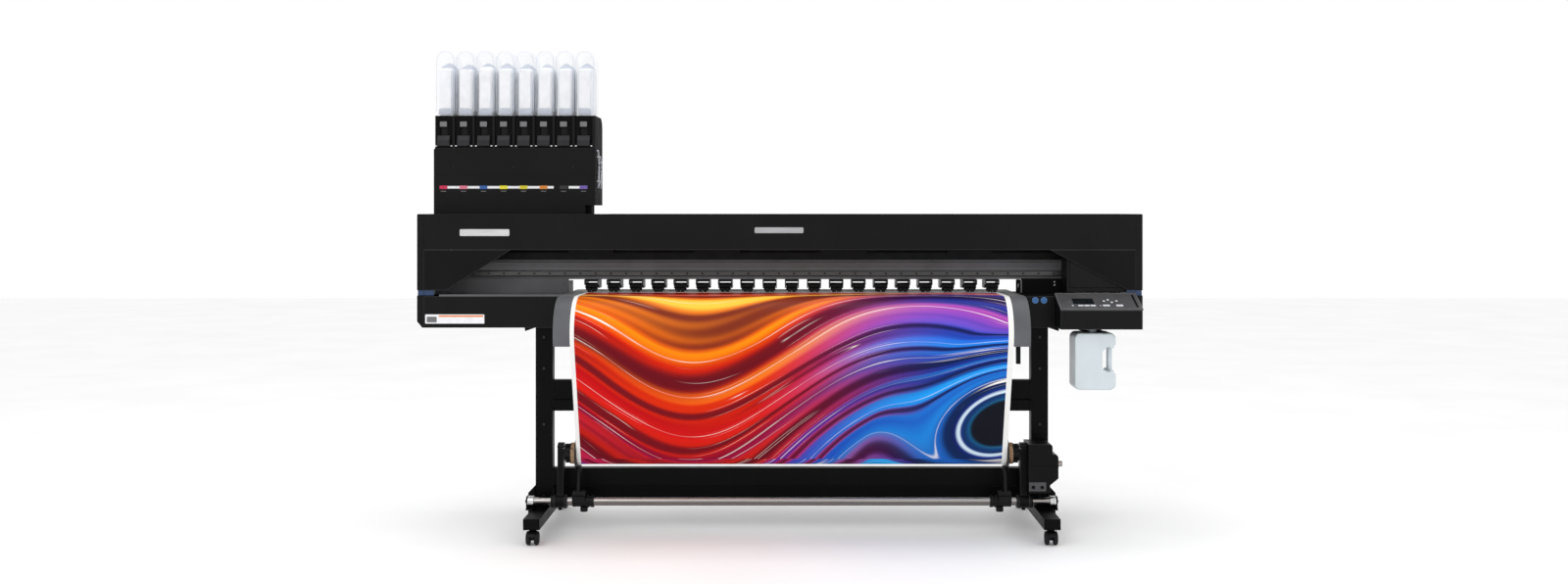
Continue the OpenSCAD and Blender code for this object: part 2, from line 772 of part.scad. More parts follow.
module motor_housing() {
    x0 = arm_x[1] + eps;
    y = [-215, -95];
    plate_y = y[0] - 1.6;
    color("#1a1a1c") on_right() {
        difference() {
            along_y(y, concat(
                [[x0, 168], [962, 168], [967, 173], [967, 197], [997.6, 222], [997.6, 300]],
                arc([986, 300], 11.6, 0, 90, 6),
                [[976, 313.6], [976, 340]],
                arc([966, 340], 10, 0, 90, 6),
                [[x0, 350]]
            ));
            block([x0 - cut, 999], [y[0] - cut, y[0] + 1], [268, 270]);
            for (s = [0, 1])
                translate([903 + s * 33, y[0] - cut, 190]) rotate([-90, 0, 0]) cylinder(h = 14, r = 6.5);
            rod([x0 - cut, arm_x[1] + 4], reel_y, reel_z, axle_r + 1);
            rod([990, 999], reel_y, 265, 4.1);
        }
        // switch plate with the collars of the two toggles
        difference() {
            union() {
                block([x0 + 1, 951], [plate_y, y[0] - eps], [175, 208]);
                for (s = [0, 1])
                    translate([903 + s * 33, plate_y - 3, 190]) rotate([-90, 0, 0]) cylinder(h = 4, r = 9);
            }
            for (s = [0, 1])
                translate([903 + s * 33, plate_y - 4, 190]) rotate([-90, 0, 0]) cylinder(h = 8, r = 6.5);
        }
    }
}

// A bat-handle switch lever; it tilts about the pin through its ball
module toggle(x) {
    color("#0b0b0c") on_right() translate([x, -214, 190]) {
        sphere(r = 5, $fn = 32);
        rotate([0, 90, 0]) cylinder(h = 12, r = 1.5, center = true);
        rotate([90, 0, 0]) cylinder(h = 20, r1 = 2.6, r2 = 4);
        translate([0, -20, 0]) sphere(r = 4, $fn = 24);
    }
}

module torque_knob() {
    z = 265;
    color("#6d6d6f") on_right() {
        rod([991, 999], reel_y, z, 4);
        difference() {
            rod([997.9, 1011], reel_y, z, 16.5);
            for (a = [0:30:330])
                translate([0, reel_y, z]) rotate([a, 0, 0]) rod([996, 1012], 17.6, 0, 2.4);
        }
        rod([1010.9, 1024.5], reel_y, z, 10.5);
    }
}

module supply_roll() {
    color("#f2f2f0") {
        tube(from_stand(media_w / 2), supply_y, supply_z, supply_r, core_r + 0.15);
    }
    color("#8a6f52") {
        tube(from_stand(core_half), supply_y, supply_z, core_r, core_bore);
    }
    color("#121213") both_sides() {
        tube([media_w / 2 + 2, media_w / 2 + 5], supply_y, supply_z, supply_r + 8, core_r + 0.15);
        rod([790, core_half], supply_y, supply_z, core_bore - 0.2);
        rod([core_half + eps, core_half + 6], supply_y, supply_z, core_r + 4);
        rod([core_half - cut, 862], supply_y, supply_z, 15);
    }
}

// ---- casters ----

module caster_fork(c) {
    outer = wheel_r + 4;
    color("#0e0e0f") translate([stand_x + c[1] * foot_x, c[2] * caster_y, 0]) {
        cylinder_z(stem_r, [50, foot_z[0] + foot_wall + 3]);
        cylinder_z(11, [50, foot_z[0] - eps]);
        translate([0, c[2] * caster_trail, 0]) difference() {
            union() {
                intersection() {
                    tube([-23, 23], 0, wheel_r, outer, wheel_r + 1);
                    block([-24, 24], [-40, 40], [wheel_r + 8, 80]);
                }
                rod([-5.5, 5.5], 0, wheel_r, outer - 0.5);
            }
            rod([-6, 6], 0, wheel_r, 3.1);
            block([-6, 6], [-40, 40], [-5, wheel_r - 9]);
        }
    }
}

module cylinder_z(r, z) {
    translate([0, 0, z[0]]) cylinder(h = z[1] - z[0], r = r);
}

module caster_wheels(c) {
    color("#151516") translate([stand_x + c[1] * foot_x, c[2] * (caster_y + caster_trail), 0]) {
        for (s = [-1, 1]) {
            rod(s < 0 ? [-22.5, -6.5] : [6.5, 22.5], 0, wheel_r, wheel_r);
            rod(s < 0 ? [-23.5, -22.4] : [22.4, 23.5], 0, wheel_r, wheel_r - 8);
        }
        rod([-7, 7], 0, wheel_r, 3);
    }
}

// ---- waste ink tank ----

module waste_tank() {
    x = [1109, 1263];
    y = [-195, -85];
    z = [550, 765];
    b = 13;
    neck = [1181, -140];
    color("#dfe5e8") {
        difference() {
            along_y(y, [
                [x[0], z[0] + b], [x[0] + b, z[0]], [x[1] - b, z[0]], [x[1], z[0] + b], [x[1], 612],
                [x[1] - 7, 618], [x[1] - 7, 716], [x[1], 722], [x[1], z[1] - b], [x[1] - b, z[1]],
                [x[0] + b, z[1]], [x[0], z[1] - b],
            ]);
            along_y([y[0] - cut, y[1] + cut], [
                [1213, 630], [1227, 621], [1240, 617], [1243, 622], [1243, 712], [1232, 712], [1213, 696],
            ]);
            // the grip is slimmer than the body
            block([1240, x[1] + cut], [y[0] - cut, -160], [624, 708]);
            block([1240, x[1] + cut], [-120, y[1] + cut], [624, 708]);
        }
        translate([neck[0], neck[1], 0]) {
            cylinder_z(16, [z[1] - 0.1, 776]);
            cylinder_z(22, [773, 776.6]);
        }
    }
}

// ---- ink supply ----

module ink_unit_case() {
    z = [deck_top - 1.5 + eps, ink_split];
    wall = 4;
    notch = [-766, 1246];
    seam = 1365;
    color("#1d1d1f") {
        difference() {
            block(ink_x, ink_y, z);
            block(ink_x + [wall, -wall - 40], [ink_y[0] + wall, ink_y[1] + cut], z + [wall, -wall]);
            block([-771, ink_x[1] - wall], [ink_y[0] + wall, ink_y[1] + cut], [notch[1] + wall, z[1] - wall]);
            block([notch[0], ink_x[1] + cut], ink_y + [-cut, cut], [z[0] - cut, notch[1]]);
            block(ink_x + [-cut, cut], [ink_y[0] - cut, ink_y[0] + 1.2], [seam, seam + 1.8]);
            block([ink_x[1] - 1.2, ink_x[1] + cut], ink_y + [-cut, cut], [seam, seam + 1.8]);
            for (sx = [-1281, -1046, -812])
                translate([sx, ink_y[0] + 1.5, 1396]) rotate([90, 0, 0]) cylinder(h = 4, r = 3.5);
        }
        block([-764, -747], [90, 170], [z[0], notch[1] + 0.1]);
        // rear panel
        block([ink_x[0] + wall + eps, -771 - eps], [ink_y[1] - 5, ink_y[1] - 1], z + [wall + eps, -wall - eps]);
    }
}

function pack_x(i) = pack_x0 + i * pack_pitch;

module ink_unit_rack() {
    x = [ink_x[0] + 4, ink_x[1]];
    z = [ink_split + eps, rack_top];
    front = ink_y[0];
    color("#0f0f11") {
        difference() {
            along_x(x, concat(
                [[front, z[0]], [front, z[1]]],
                arc([ink_y[1] - 50, z[1] - 50], 50, 90, 0, 8),
                [[ink_y[1], z[0]]]
            ));
            for (i = [0:pack_count - 1]) {
                cx = pack_x(i);
                block([cx - 33.5, cx + 33.5], [58, 234], [1480, z[1] + cut]);
                block([cx - 35, cx + 35], [front - cut, front + 6], [1472, z[1] + cut]);
                block([cx - 14, cx + 14], [front, 55], [1521, 1554]);
            }
        }
        for (i = [0:pack_count - 1]) {
            cx = pack_x(i);
            // label window over the slot, and the ramp of its latch
            block([cx - 14, cx + 14], [front - 1, front + 6.1], [1554, 1575]);
            along_x([cx - 24, cx + 24], [
                [front + 6.1, 1521], [front + 1, 1519], [front - 3, 1500], [front - 6, 1498],
                [front - 6, 1480], [front + 6.1, 1476],
            ]);
        }
    }
}

module ink_pack(i) {
    cx = pack_x(i);
    w = pack_w / 2;
    slot_w = w - 4.5;
    r = 30; // rounding across the pack
    s = 55; // rounding from front to back
    color("#e9edf0") intersection() {
        // narrow in its slot, wider where it bulges above the rack
        along_y(pack_y, concat(
            [[cx - w, rack_top + 14], [cx - slot_w, rack_top + 2], [cx - slot_w, pack_z0]],
            [[cx + slot_w, pack_z0], [cx + slot_w, rack_top + 2], [cx + w, rack_top + 14]],
            arc([cx + w - r, pack_top - r], r, 0, 90, 10),
            arc([cx - w + r, pack_top - r], r, 90, 180, 10)
        ));
        along_x([cx - w - cut, cx + w + cut], concat(
            [[pack_y[0], pack_z0 - cut], [pack_y[1], pack_z0 - cut]],
            arc([pack_y[1] - s, pack_top - s], s, 0, 90, 12),
            arc([pack_y[0] + s * 0.6, pack_top - s * 0.6], s * 0.6, 90, 180, 10)
        ));
    }
}

// ---- one module call for each node ----

foot_beams();
stand_posts();
crossbeams();
support_brackets();
stand_bolts();
base_pipe();
guide_arms();
machine_frame();
lower_front_cover();
control_box();
control_panel();
wing_covers();
side_covers();
rear_cover();
y_beam();
linear_rail();
pinch_holders();
platen();
paper_guide();
media_web();
ink_unit_case();
ink_unit_rack();
front_cover();
carriage();
grit_roller();
pinch_arms();
pinch_rollers();
color("#1b1b1d") on_left() takeup_arm();  // takeup_arm_left
color("#1b1b1d") on_right() takeup_arm();  // takeup_arm_right
motor_housing();
color("#111112") on_left() hub();  // hub_left
color("#111112") on_right() hub();  // hub_right
takeup_roll();
torque_knob();
toggle(903);  // toggle_left
toggle(936);  // toggle_right
supply_roll();
waste_tank();
for (c = CORNERS) {
    caster_fork(c);
    caster_wheels(c);
}
for (k = KEYS) {
    key(k);
}
for (i = [0:pack_count - 1]) {
    ink_pack(i);
}
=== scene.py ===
"""Looks of the wide-format inkjet printer: materials, finely made pieces, light, floor and camera."""

import json
import math
import random

import bmesh
import bpy
from mathutils import Matrix, Vector

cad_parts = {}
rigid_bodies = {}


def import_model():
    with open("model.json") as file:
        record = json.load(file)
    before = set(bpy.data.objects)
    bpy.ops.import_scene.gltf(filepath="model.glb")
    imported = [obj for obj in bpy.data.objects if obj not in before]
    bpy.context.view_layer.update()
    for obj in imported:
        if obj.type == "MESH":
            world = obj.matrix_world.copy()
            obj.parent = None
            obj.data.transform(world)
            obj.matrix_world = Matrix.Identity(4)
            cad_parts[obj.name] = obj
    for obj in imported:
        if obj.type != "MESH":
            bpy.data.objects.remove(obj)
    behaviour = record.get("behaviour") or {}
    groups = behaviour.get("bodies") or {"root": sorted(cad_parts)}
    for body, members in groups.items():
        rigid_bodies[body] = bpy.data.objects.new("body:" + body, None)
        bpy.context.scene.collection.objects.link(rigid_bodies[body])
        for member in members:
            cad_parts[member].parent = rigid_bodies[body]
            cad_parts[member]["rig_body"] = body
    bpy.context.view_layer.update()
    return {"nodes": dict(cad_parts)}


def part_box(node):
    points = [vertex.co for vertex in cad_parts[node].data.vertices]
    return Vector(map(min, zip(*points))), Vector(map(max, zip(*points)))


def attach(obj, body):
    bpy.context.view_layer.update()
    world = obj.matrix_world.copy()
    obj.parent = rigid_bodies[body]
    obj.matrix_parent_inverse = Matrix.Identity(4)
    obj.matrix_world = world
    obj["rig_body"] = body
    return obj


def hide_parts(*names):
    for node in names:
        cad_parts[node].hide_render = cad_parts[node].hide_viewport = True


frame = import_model()

# metres throughout, in the CAD part's own frame
STAND_X = 0.046  # middle of the stand and of the media path
MEDIA_THICK = 0.0005
REEL_R, SUPPLY_R = 0.042, 0.075  # outside of the media wound on the two rolls
X, Y, Z = Vector((1, 0, 0)), Vector((0, 1, 0)), Vector((0, 0, 1))


# ---- camera, light and floor ----

def camera():
    data = bpy.data.cameras.new("camera")
    data.sensor_width = 36
    data.lens = 31.95
    data.shift_x = -0.005
    data.shift_y = -0.0519
    data.clip_end = 60  # past the far edge of the floor
    obj = bpy.data.objects.new("camera", data)
    obj.location = (STAND_X, -5.421, 1.225)
    obj.rotation_euler = (math.radians(90), 0, 0)
    bpy.context.scene.collection.objects.link(obj)
    bpy.context.scene.camera = obj


def area_light(name, place, target, width, height, watts):
    data = bpy.data.lights.new(name, "AREA")
    data.shape = "RECTANGLE"
    data.size = width
    data.size_y = height
    data.energy = watts
    obj = bpy.data.objects.new(name, data)
    obj.location = place
    obj.rotation_euler = (Vector(target) - Vector(place)).to_track_quat("-Z", "Y").to_euler()
    bpy.context.scene.collection.objects.link(obj)


def studio():
    scene = bpy.context.scene
    scene.view_settings.view_transform = "Standard"
    world = bpy.data.worlds.new("studio")
    world.use_nodes = True
    background = world.node_tree.nodes["Background"]
    background.inputs["Color"].default_value = (1, 1, 1, 1)
    background.inputs["Strength"].default_value = 1.0
    scene.world = world
    area_light("key", (-2.6, -4.2, 4.2), (0, 0, 0.9), 3.0, 2.0, 50)
    area_light("fill", (3.4, -3.6, 2.4), (0.2, 0, 0.8), 2.4, 2.4, 16)
    area_light("top", (0, 0.2, 4.6), (0, 0, 1.0), 4.0, 1.2, 34)
    bm = bmesh.new()
    bmesh.ops.create_grid(bm, x_segments=8, y_segments=8, size=14)
    mesh = bpy.data.meshes.new("floor")
    bm.to_mesh(mesh)
    floor = bpy.data.objects.new("floor", mesh)
    floor.location = (0, 0, -0.0005)
    scene.collection.objects.link(floor)
    shade = Shader("floor_paint", (0.94, 0.94, 0.94), 0.8)
    shade.mottle(0.02, 1.5)
    floor.data.materials.append(shade.mat)


# ---- materials ----

class Shader:
    """A Principled material whose colour, roughness and bump come from its own noise nodes."""

    def __init__(self, name, colour, rough, metallic=0.0, **sockets):
        self.mat = bpy.data.materials.new(name)
        self.mat.use_nodes = True
        self.tree = self.mat.node_tree
        self.bsdf = self.tree.nodes["Principled BSDF"]
        self.colour = colour
        self.rough = rough
        self.place = self.add("ShaderNodeTexCoord").outputs["Object"]
        self.set("Base Color", (*colour, 1))
        self.set("Roughness", rough)
        self.set("Metallic", metallic)
        for socket, value in sockets.items():
            self.set(socket.replace("_", " "), value)

    def set(self, socket, value):
        self.bsdf.inputs[socket].default_value = value

    def feed(self, socket, value):
        """Links the socket to a node's output, or gives it a fixed value."""
        if isinstance(value, bpy.types.NodeSocket):
            self.tree.links.new(value, socket)
        else:
            socket.default_value = value

    def add(self, kind, **inputs):
        node = self.tree.nodes.new(kind)
        for key, value in inputs.items():
            self.feed(node.inputs[key.replace("_", " ")], value)
        return node

    def link(self, output, socket):
        self.tree.links.new(output, self.bsdf.inputs[socket])

    def stretched(self, scale):
        node = self.add("ShaderNodeMapping", Vector=self.place)
        node.inputs["Scale"].default_value = scale
        return node.outputs[0]

    def noise(self, scale, detail=3.0, rough=0.5, stretch=None):
        where = self.stretched(stretch) if stretch else self.place
        node = self.add("ShaderNodeTexNoise", Vector=where, Scale=scale, Detail=detail, Roughness=rough)
        return node.outputs["Fac"]

    def math(self, kind, a, b=0.0):
        node = self.tree.nodes.new("ShaderNodeMath")
        node.operation = kind
        for socket, value in zip(node.inputs, (a, b)):
            self.feed(socket, value)
        return node.outputs[0]

    def spread(self, value, low, high, to_low, to_high):
        node = self.add("ShaderNodeMapRange", Value=value)
        for key, number in zip(("From Min", "From Max", "To Min", "To Max"), (low, high, to_low, to_high)):
            node.inputs[key].default_value = number
        return node.outputs[0]

    def ramp(self, value, stops):
        node = self.add("ShaderNodeValToRGB", Fac=value)
        ramp = node.color_ramp
        while len(ramp.elements) < len(stops):
            ramp.elements.new(0.5)
        for element, (at, colour) in zip(ramp.elements, stops):
            element.position = at
            element.color = (*colour, 1)
        return node.outputs[0]

    def blend(self, factor, a, b, kind="MIX"):
        node = self.tree.nodes.new("ShaderNodeMix")
        node.data_type = "RGBA"
        node.blend_type = kind
        node.clamp_factor = True
        # inputs 0, 6 and 7 of a Mix node are its factor and its two colours
        for number, value in ((0, factor), (6, a), (7, b)):
            self.feed(node.inputs[number], (*value, 1) if isinstance(value, tuple) else value)
        return node.outputs[2]

    def mottle(self, amount, scale, stretch=None):
        """Uneven colour: the base colour a little darker and lighter."""
        dark = tuple(c * (1 - amount) for c in self.colour)
        light = tuple(min(1, c * (1 + amount)) for c in self.colour)
        self.link(self.ramp(self.noise(scale, stretch=stretch), ((0.3, dark), (0.7, light))), "Base Color")

    def uneven_gloss(self, amount, scale, stretch=None):
        """Roughness that wanders by amount to both sides of the base value."""
        value = self.noise(scale, detail=5, stretch=stretch)
        self.link(self.spread(value, 0.3, 0.7, self.rough - amount, self.rough + amount), "Roughness")

    def grain(self, height, depth, strength=0.5):
        """Fine relief, depth metres high."""
        bump = self.add("ShaderNodeBump", Height=height, Strength=strength, Distance=depth)
        self.link(bump.outputs[0], "Normal")


def powder_coat(name, colour, rough=0.42, shine=0.12):
    s = Shader(name, colour, rough, Specular_IOR_Level=shine)
    s.mottle(0.12, 7)
    s.uneven_gloss(0.06, 11)
    s.grain(s.noise(1500, detail=2), 0.00012, 0.35)
    return s.mat


def moulded(name, colour, rough=0.5, grain=900):
    s = Shader(name, colour, rough, Specular_IOR_Level=0.16)
    s.mottle(0.15, 14)
    s.uneven_gloss(0.08, 25)
    s.grain(s.noise(grain, detail=4), 0.0002, 0.4)
    return s.mat


def brushed(name, colour, rough, along=(0.02, 1, 1)):
    s = Shader(name, colour, rough, metallic=1.0)
    s.mottle(0.12, 260, along)
    s.uneven_gloss(0.10, 420, along)
    s.grain(s.noise(900, detail=2, stretch=along), 0.00005, 0.4)
    return s.mat


def pipe_steel():
    """Drawn tube with lengthwise bands of painted reflection, darker and lighter by height."""
    s = Shader("stainless_pipe", (0.33, 0.305, 0.285), 0.26, metallic=1.0)
    along = (0.02, 1, 1)
    low_z, high_z = 0.112, 0.144  # the part of the pipe that the painted reflection bands run over
    height = s.add("ShaderNodeSeparateXYZ", Vector=s.place).outputs[2]
    grain = s.noise(260, stretch=along)
    level = s.math("ADD", s.spread(height, low_z, high_z, 0, 1), s.math("MULTIPLY", grain, 0.10))
    # painted reflection: dark and light bands up the pipe's height, as the studio would mirror in it
    reflection_bands = ((0.10, (0.18, 0.165, 0.15)), (0.38, (0.24, 0.225, 0.21)), (0.52, (0.11, 0.105, 0.10)),
             (0.66, (0.345, 0.32, 0.31)), (1.0, (0.45, 0.435, 0.42)))
    s.link(s.ramp(level, reflection_bands), "Base Color")
    s.uneven_gloss(0.08, 420, along)
    return s.mat


def cardboard():
    s = Shader("cardboard", (0.33, 0.20, 0.11), 0.85)
    fibre = s.noise(240, detail=6, stretch=(0.25, 1, 1))
    wave = s.add("ShaderNodeTexWave", Vector=s.place, Scale=9.0, Distortion=0.6, Detail=1.0)
    wave.bands_direction = "DIAGONAL"
    base = s.ramp(fibre, ((0.3, (0.24, 0.14, 0.075)), (0.7, (0.44, 0.28, 0.16))))
    seam = s.ramp(wave.outputs["Fac"], ((0.02, (0.5, 0.5, 0.5)), (0.08, (1, 1, 1))))
    s.link(s.blend(1.0, base, seam, "MULTIPLY"), "Base Color")
    s.grain(fibre, 0.0003, 0.5)
    return s.mat


def blank_media():
    s = Shader("blank_media", (0.84, 0.84, 0.82), 0.55, Sheen_Weight=0.1)
    s.mottle(0.03, 30)
    s.uneven_gloss(0.05, 60)
    s.grain(s.noise(2200, detail=2), 0.0001, 0.3)
    return s.mat


def flat_colour(name, colour, rough=0.35):
    s = Shader(name, colour, rough)
    s.mottle(0.06, 40)
    s.uneven_gloss(0.05, 80)
    return s.mat


def film(name, colour, alpha, rough=0.18):
    """Clear film that clouds a little where it creases."""
    s = Shader(name, colour, rough, Specular_IOR_Level=0.5, IOR=1.45)
    crease = s.noise(9, detail=3, rough=0.5, stretch=(1, 0.6, 0.35))
    s.link(s.spread(crease, 0.35, 0.7, alpha * 0.85, alpha * 1.15), "Alpha")
    s.link(s.ramp(crease, ((0.3, tuple(c * 0.92 for c in colour)), (0.65, colour))), "Base Color")
    s.grain(s.noise(14, detail=3, stretch=(1, 0.6, 0.4)), 0.003, 0.25)
    return s.mat


def pouch():
    """White ink bag with faint creases, painted darker blue-grey as shade in their hollows."""
    s = Shader("pouch_white", (0.92, 0.93, 0.95), 0.45, Specular_IOR_Level=0.3)
    crease = s.noise(18, detail=4, stretch=(1, 1, 0.5))
    # painted shade: the bag is coloured darker blue-grey where the crease noise is low
    s.link(s.ramp(crease, ((0.3, (0.78, 0.81, 0.87)), (0.62, (0.90, 0.91, 0.93)))), "Base Color")
    s.uneven_gloss(0.08, 40)
    s.grain(s.noise(34, detail=3, stretch=(1, 1, 0.4)), 0.002, 0.2)
    return s.mat


def blown_plastic():
    """Thin translucent polyethylene."""
    s = Shader("blown_plastic", (0.60, 0.66, 0.69), 0.42, Subsurface_Weight=0.2)
    s.set("Subsurface Radius", (0.02, 0.025, 0.03))
    s.mottle(0.05, 10)
    s.uneven_gloss(0.06, 22)
    s.grain(s.noise(60, detail=3), 0.001, 0.2)
    return s.mat


def screen_glass():
    s = Shader("screen_glass", (0.006, 0.008, 0.010), 0.12, Coat_Weight=0.6)
    s.mottle(0.3, 60)
    s.uneven_gloss(0.03, 90)
    return s.mat


def printed_media():
    """Generic flowing ribbons with unprinted margins; u runs across the web and v down it."""
    s = Shader("printed_media", (0.8, 0.8, 0.8), 0.40, Specular_IOR_Level=0.10)
    uv = s.add("ShaderNodeUVMap").outputs[0]
    split = s.add("ShaderNodeSeparateXYZ", Vector=uv)
    u, v = split.outputs[0], split.outputs[1]

    def wave(rate, phase):
        return s.math("SINE", s.math("ADD", s.math("MULTIPLY", u, rate), phase))

    def plus(*terms):
        total = terms[0]
        for term in terms[1:]:
            total = s.math("ADD", total, term)
        return total

    def times(a, b):
        return s.math("MULTIPLY", a, b)

    def soft(value, low, high, to_low=0.0, to_high=1.0):
        out = s.spread(value, low, high, to_low, to_high)
        s.tree.nodes[-1].interpolation_type = "SMOOTHSTEP"
        return out

    slow = s.add("ShaderNodeTexNoise", Vector=uv, Scale=1.6, Detail=1.0).outputs["Fac"]
    drift = s.spread(slow, 0, 1, -1, 1)
    # ribbons sag left of the middle, rise to a crest at three quarters and fall to the right edge
    swing = times(soft(v, 0.20, 0.80, 0.12, 0.26), wave(6.1, -0.20))
    lift = times(times(u, u), times(soft(v, 0.45, 1.0, 0.0, 1.0), 0.55))
    sweep = plus(v, times(swing, -1.0), lift, times(drift, 0.05))
    # low on the right they turn round a hollow
    du = s.math("SUBTRACT", u, 0.985)
    dv = times(s.math("SUBTRACT", v, 0.84), 0.62)
    tilted = plus(times(du, 0.62), dv)
    across = plus(times(dv, 0.62), times(du, -1.0))
    far = s.math("SQRT", plus(times(times(tilted, 1.35), times(tilted, 1.35)), times(across, across)))
    near = soft(far, 0.16, 0.40, 1.0, 0.0)
    ring = plus(1.62, times(far, -1.75))
    flow = plus(times(sweep, s.math("SUBTRACT", 1.0, near)), times(ring, near))
    along = s.spread(flow, -0.15, 1.35, 0, 1)
    warm = s.ramp(along, (
        (0.00, (0.92, 0.40, 0.02)), (0.05, (0.80, 0.03, 0.005)), (0.09, (0.95, 0.42, 0.03)),
        (0.13, (0.45, 0.0, 0.01)), (0.17, (0.90, 0.10, 0.005)), (0.22, (1.00, 0.55, 0.05)),
        (0.29, (1.00, 0.50, 0.02)), (0.33, (0.96, 0.26, 0.0)), (0.37, (0.75, 0.01, 0.0)),
        (0.42, (0.98, 0.38, 0.02)), (0.46, (0.85, 0.05, 0.0)), (0.52, (0.50, 0.0, 0.004)),
        (0.57, (0.70, 0.01, 0.006)), (0.63, (0.25, 0.0, 0.02)), (0.69, (0.42, 0.01, 0.10)),
        (0.76, (0.16, 0.01, 0.22)), (0.84, (0.05, 0.02, 0.40)), (0.92, (0.01, 0.05, 0.42)),
        (1.00, (0.02, 0.02, 0.30)),
    ))
    cool = s.ramp(along, (
        (0.00, (0.20, 0.03, 0.32)), (0.06, (0.45, 0.02, 0.20)), (0.11, (0.16, 0.04, 0.45)),
        (0.17, (0.85, 0.62, 0.55)), (0.21, (0.75, 0.03, 0.08)), (0.27, (0.90, 0.32, 0.16)),
        (0.33, (0.60, 0.04, 0.12)), (0.39, (0.50, 0.06, 0.35)), (0.45, (0.20, 0.06, 0.50)),
        (0.51, (0.02, 0.10, 0.66)), (0.57, (0.01, 0.24, 0.80)), (0.63, (0.01, 0.06, 0.42)),
        (0.70, (0.01, 0.28, 0.86)), (0.77, (0.005, 0.03, 0.25)), (0.85, (0.01, 0.34, 0.90)),
        (0.92, (0.01, 0.12, 0.55)), (1.00, (0.01, 0.44, 0.96)),
    ))
    side = soft(plus(u, times(drift, 0.12), times(v, 0.12)), 0.50, 0.92)
    colour = s.blend(side, warm, cool)
    # folds: dark valleys and thin bright crests along the ribbons, unevenly spaced
    ribbon = s.add("ShaderNodeCombineXYZ", X=times(flow, 3.1), Y=times(u, 0.25)).outputs[0]
    uneven = s.add("ShaderNodeTexNoise", Vector=ribbon, Scale=2.2, Detail=2.0)
    phase = times(plus(flow, times(uneven.outputs["Fac"], 0.32)), 40.0)
    fold = s.math("SINE", phase)
    middle = s.blend(side, (0.62, 0.012, 0.0), (0.010, 0.035, 0.34))
    deep = s.blend(side, (0.10, 0.0, 0.008), (0.001, 0.003, 0.040))
    colour = s.blend(soft(fold, -0.6, 0.3, 0.70, 0.0), colour, middle)
    colour = s.blend(soft(fold, -1.0, -0.45, 0.85, 0.0), colour, deep)
    broad = s.math("SINE", plus(times(flow, 13.0), times(u, 1.5), 1.6))
    colour = s.blend(soft(broad, 0.40, 0.85, 0.0, 0.75), colour, middle)
    colour = s.blend(soft(broad, 0.80, 1.0, 0.0, 0.90), colour, deep)
    glow = s.add("ShaderNodeTexNoise", Vector=uv, Scale=3.4, Detail=2.0).outputs["Fac"]
    crest = times(s.math("POWER", s.math("MAXIMUM", fold, 0.0), 220.0), soft(glow, 0.40, 0.58, 0.25, 1.0))
    colour = s.blend(crest, colour, (1.0, 0.95, 0.90))
    # hair-thin bright lines that come and go beside the crests
    hair = s.math("SINE", plus(times(phase, 3.7), times(glow, 3.0)))
    thin = times(s.math("POWER", s.math("MAXIMUM", hair, 0.0), 160.0), soft(glow, 0.50, 0.62, 0.0, 0.75))
    colour = s.blend(thin, colour, (1.0, 0.88, 0.80))
    # the hollow in the middle of the turn
    colour = s.blend(soft(far, 0.085, 0.125, 1.0, 0.0), colour, (0.003, 0.004, 0.010))
    rim = times(soft(far, 0.118, 0.126), soft(far, 0.128, 0.138, 1.0, 0.0))
    colour = s.blend(times(rim, 0.8), colour, (0.75, 0.92, 1.0))
    # unprinted margins
    inside = times(s.math("GREATER_THAN", u, 0.0095), s.math("LESS_THAN", u, 0.988))
    colour = s.blend(inside, (0.82, 0.82, 0.80), colour)
    s.link(colour, "Base Color")
    s.grain(s.noise(2200, detail=2), 0.0001, 0.25)
    return s.mat


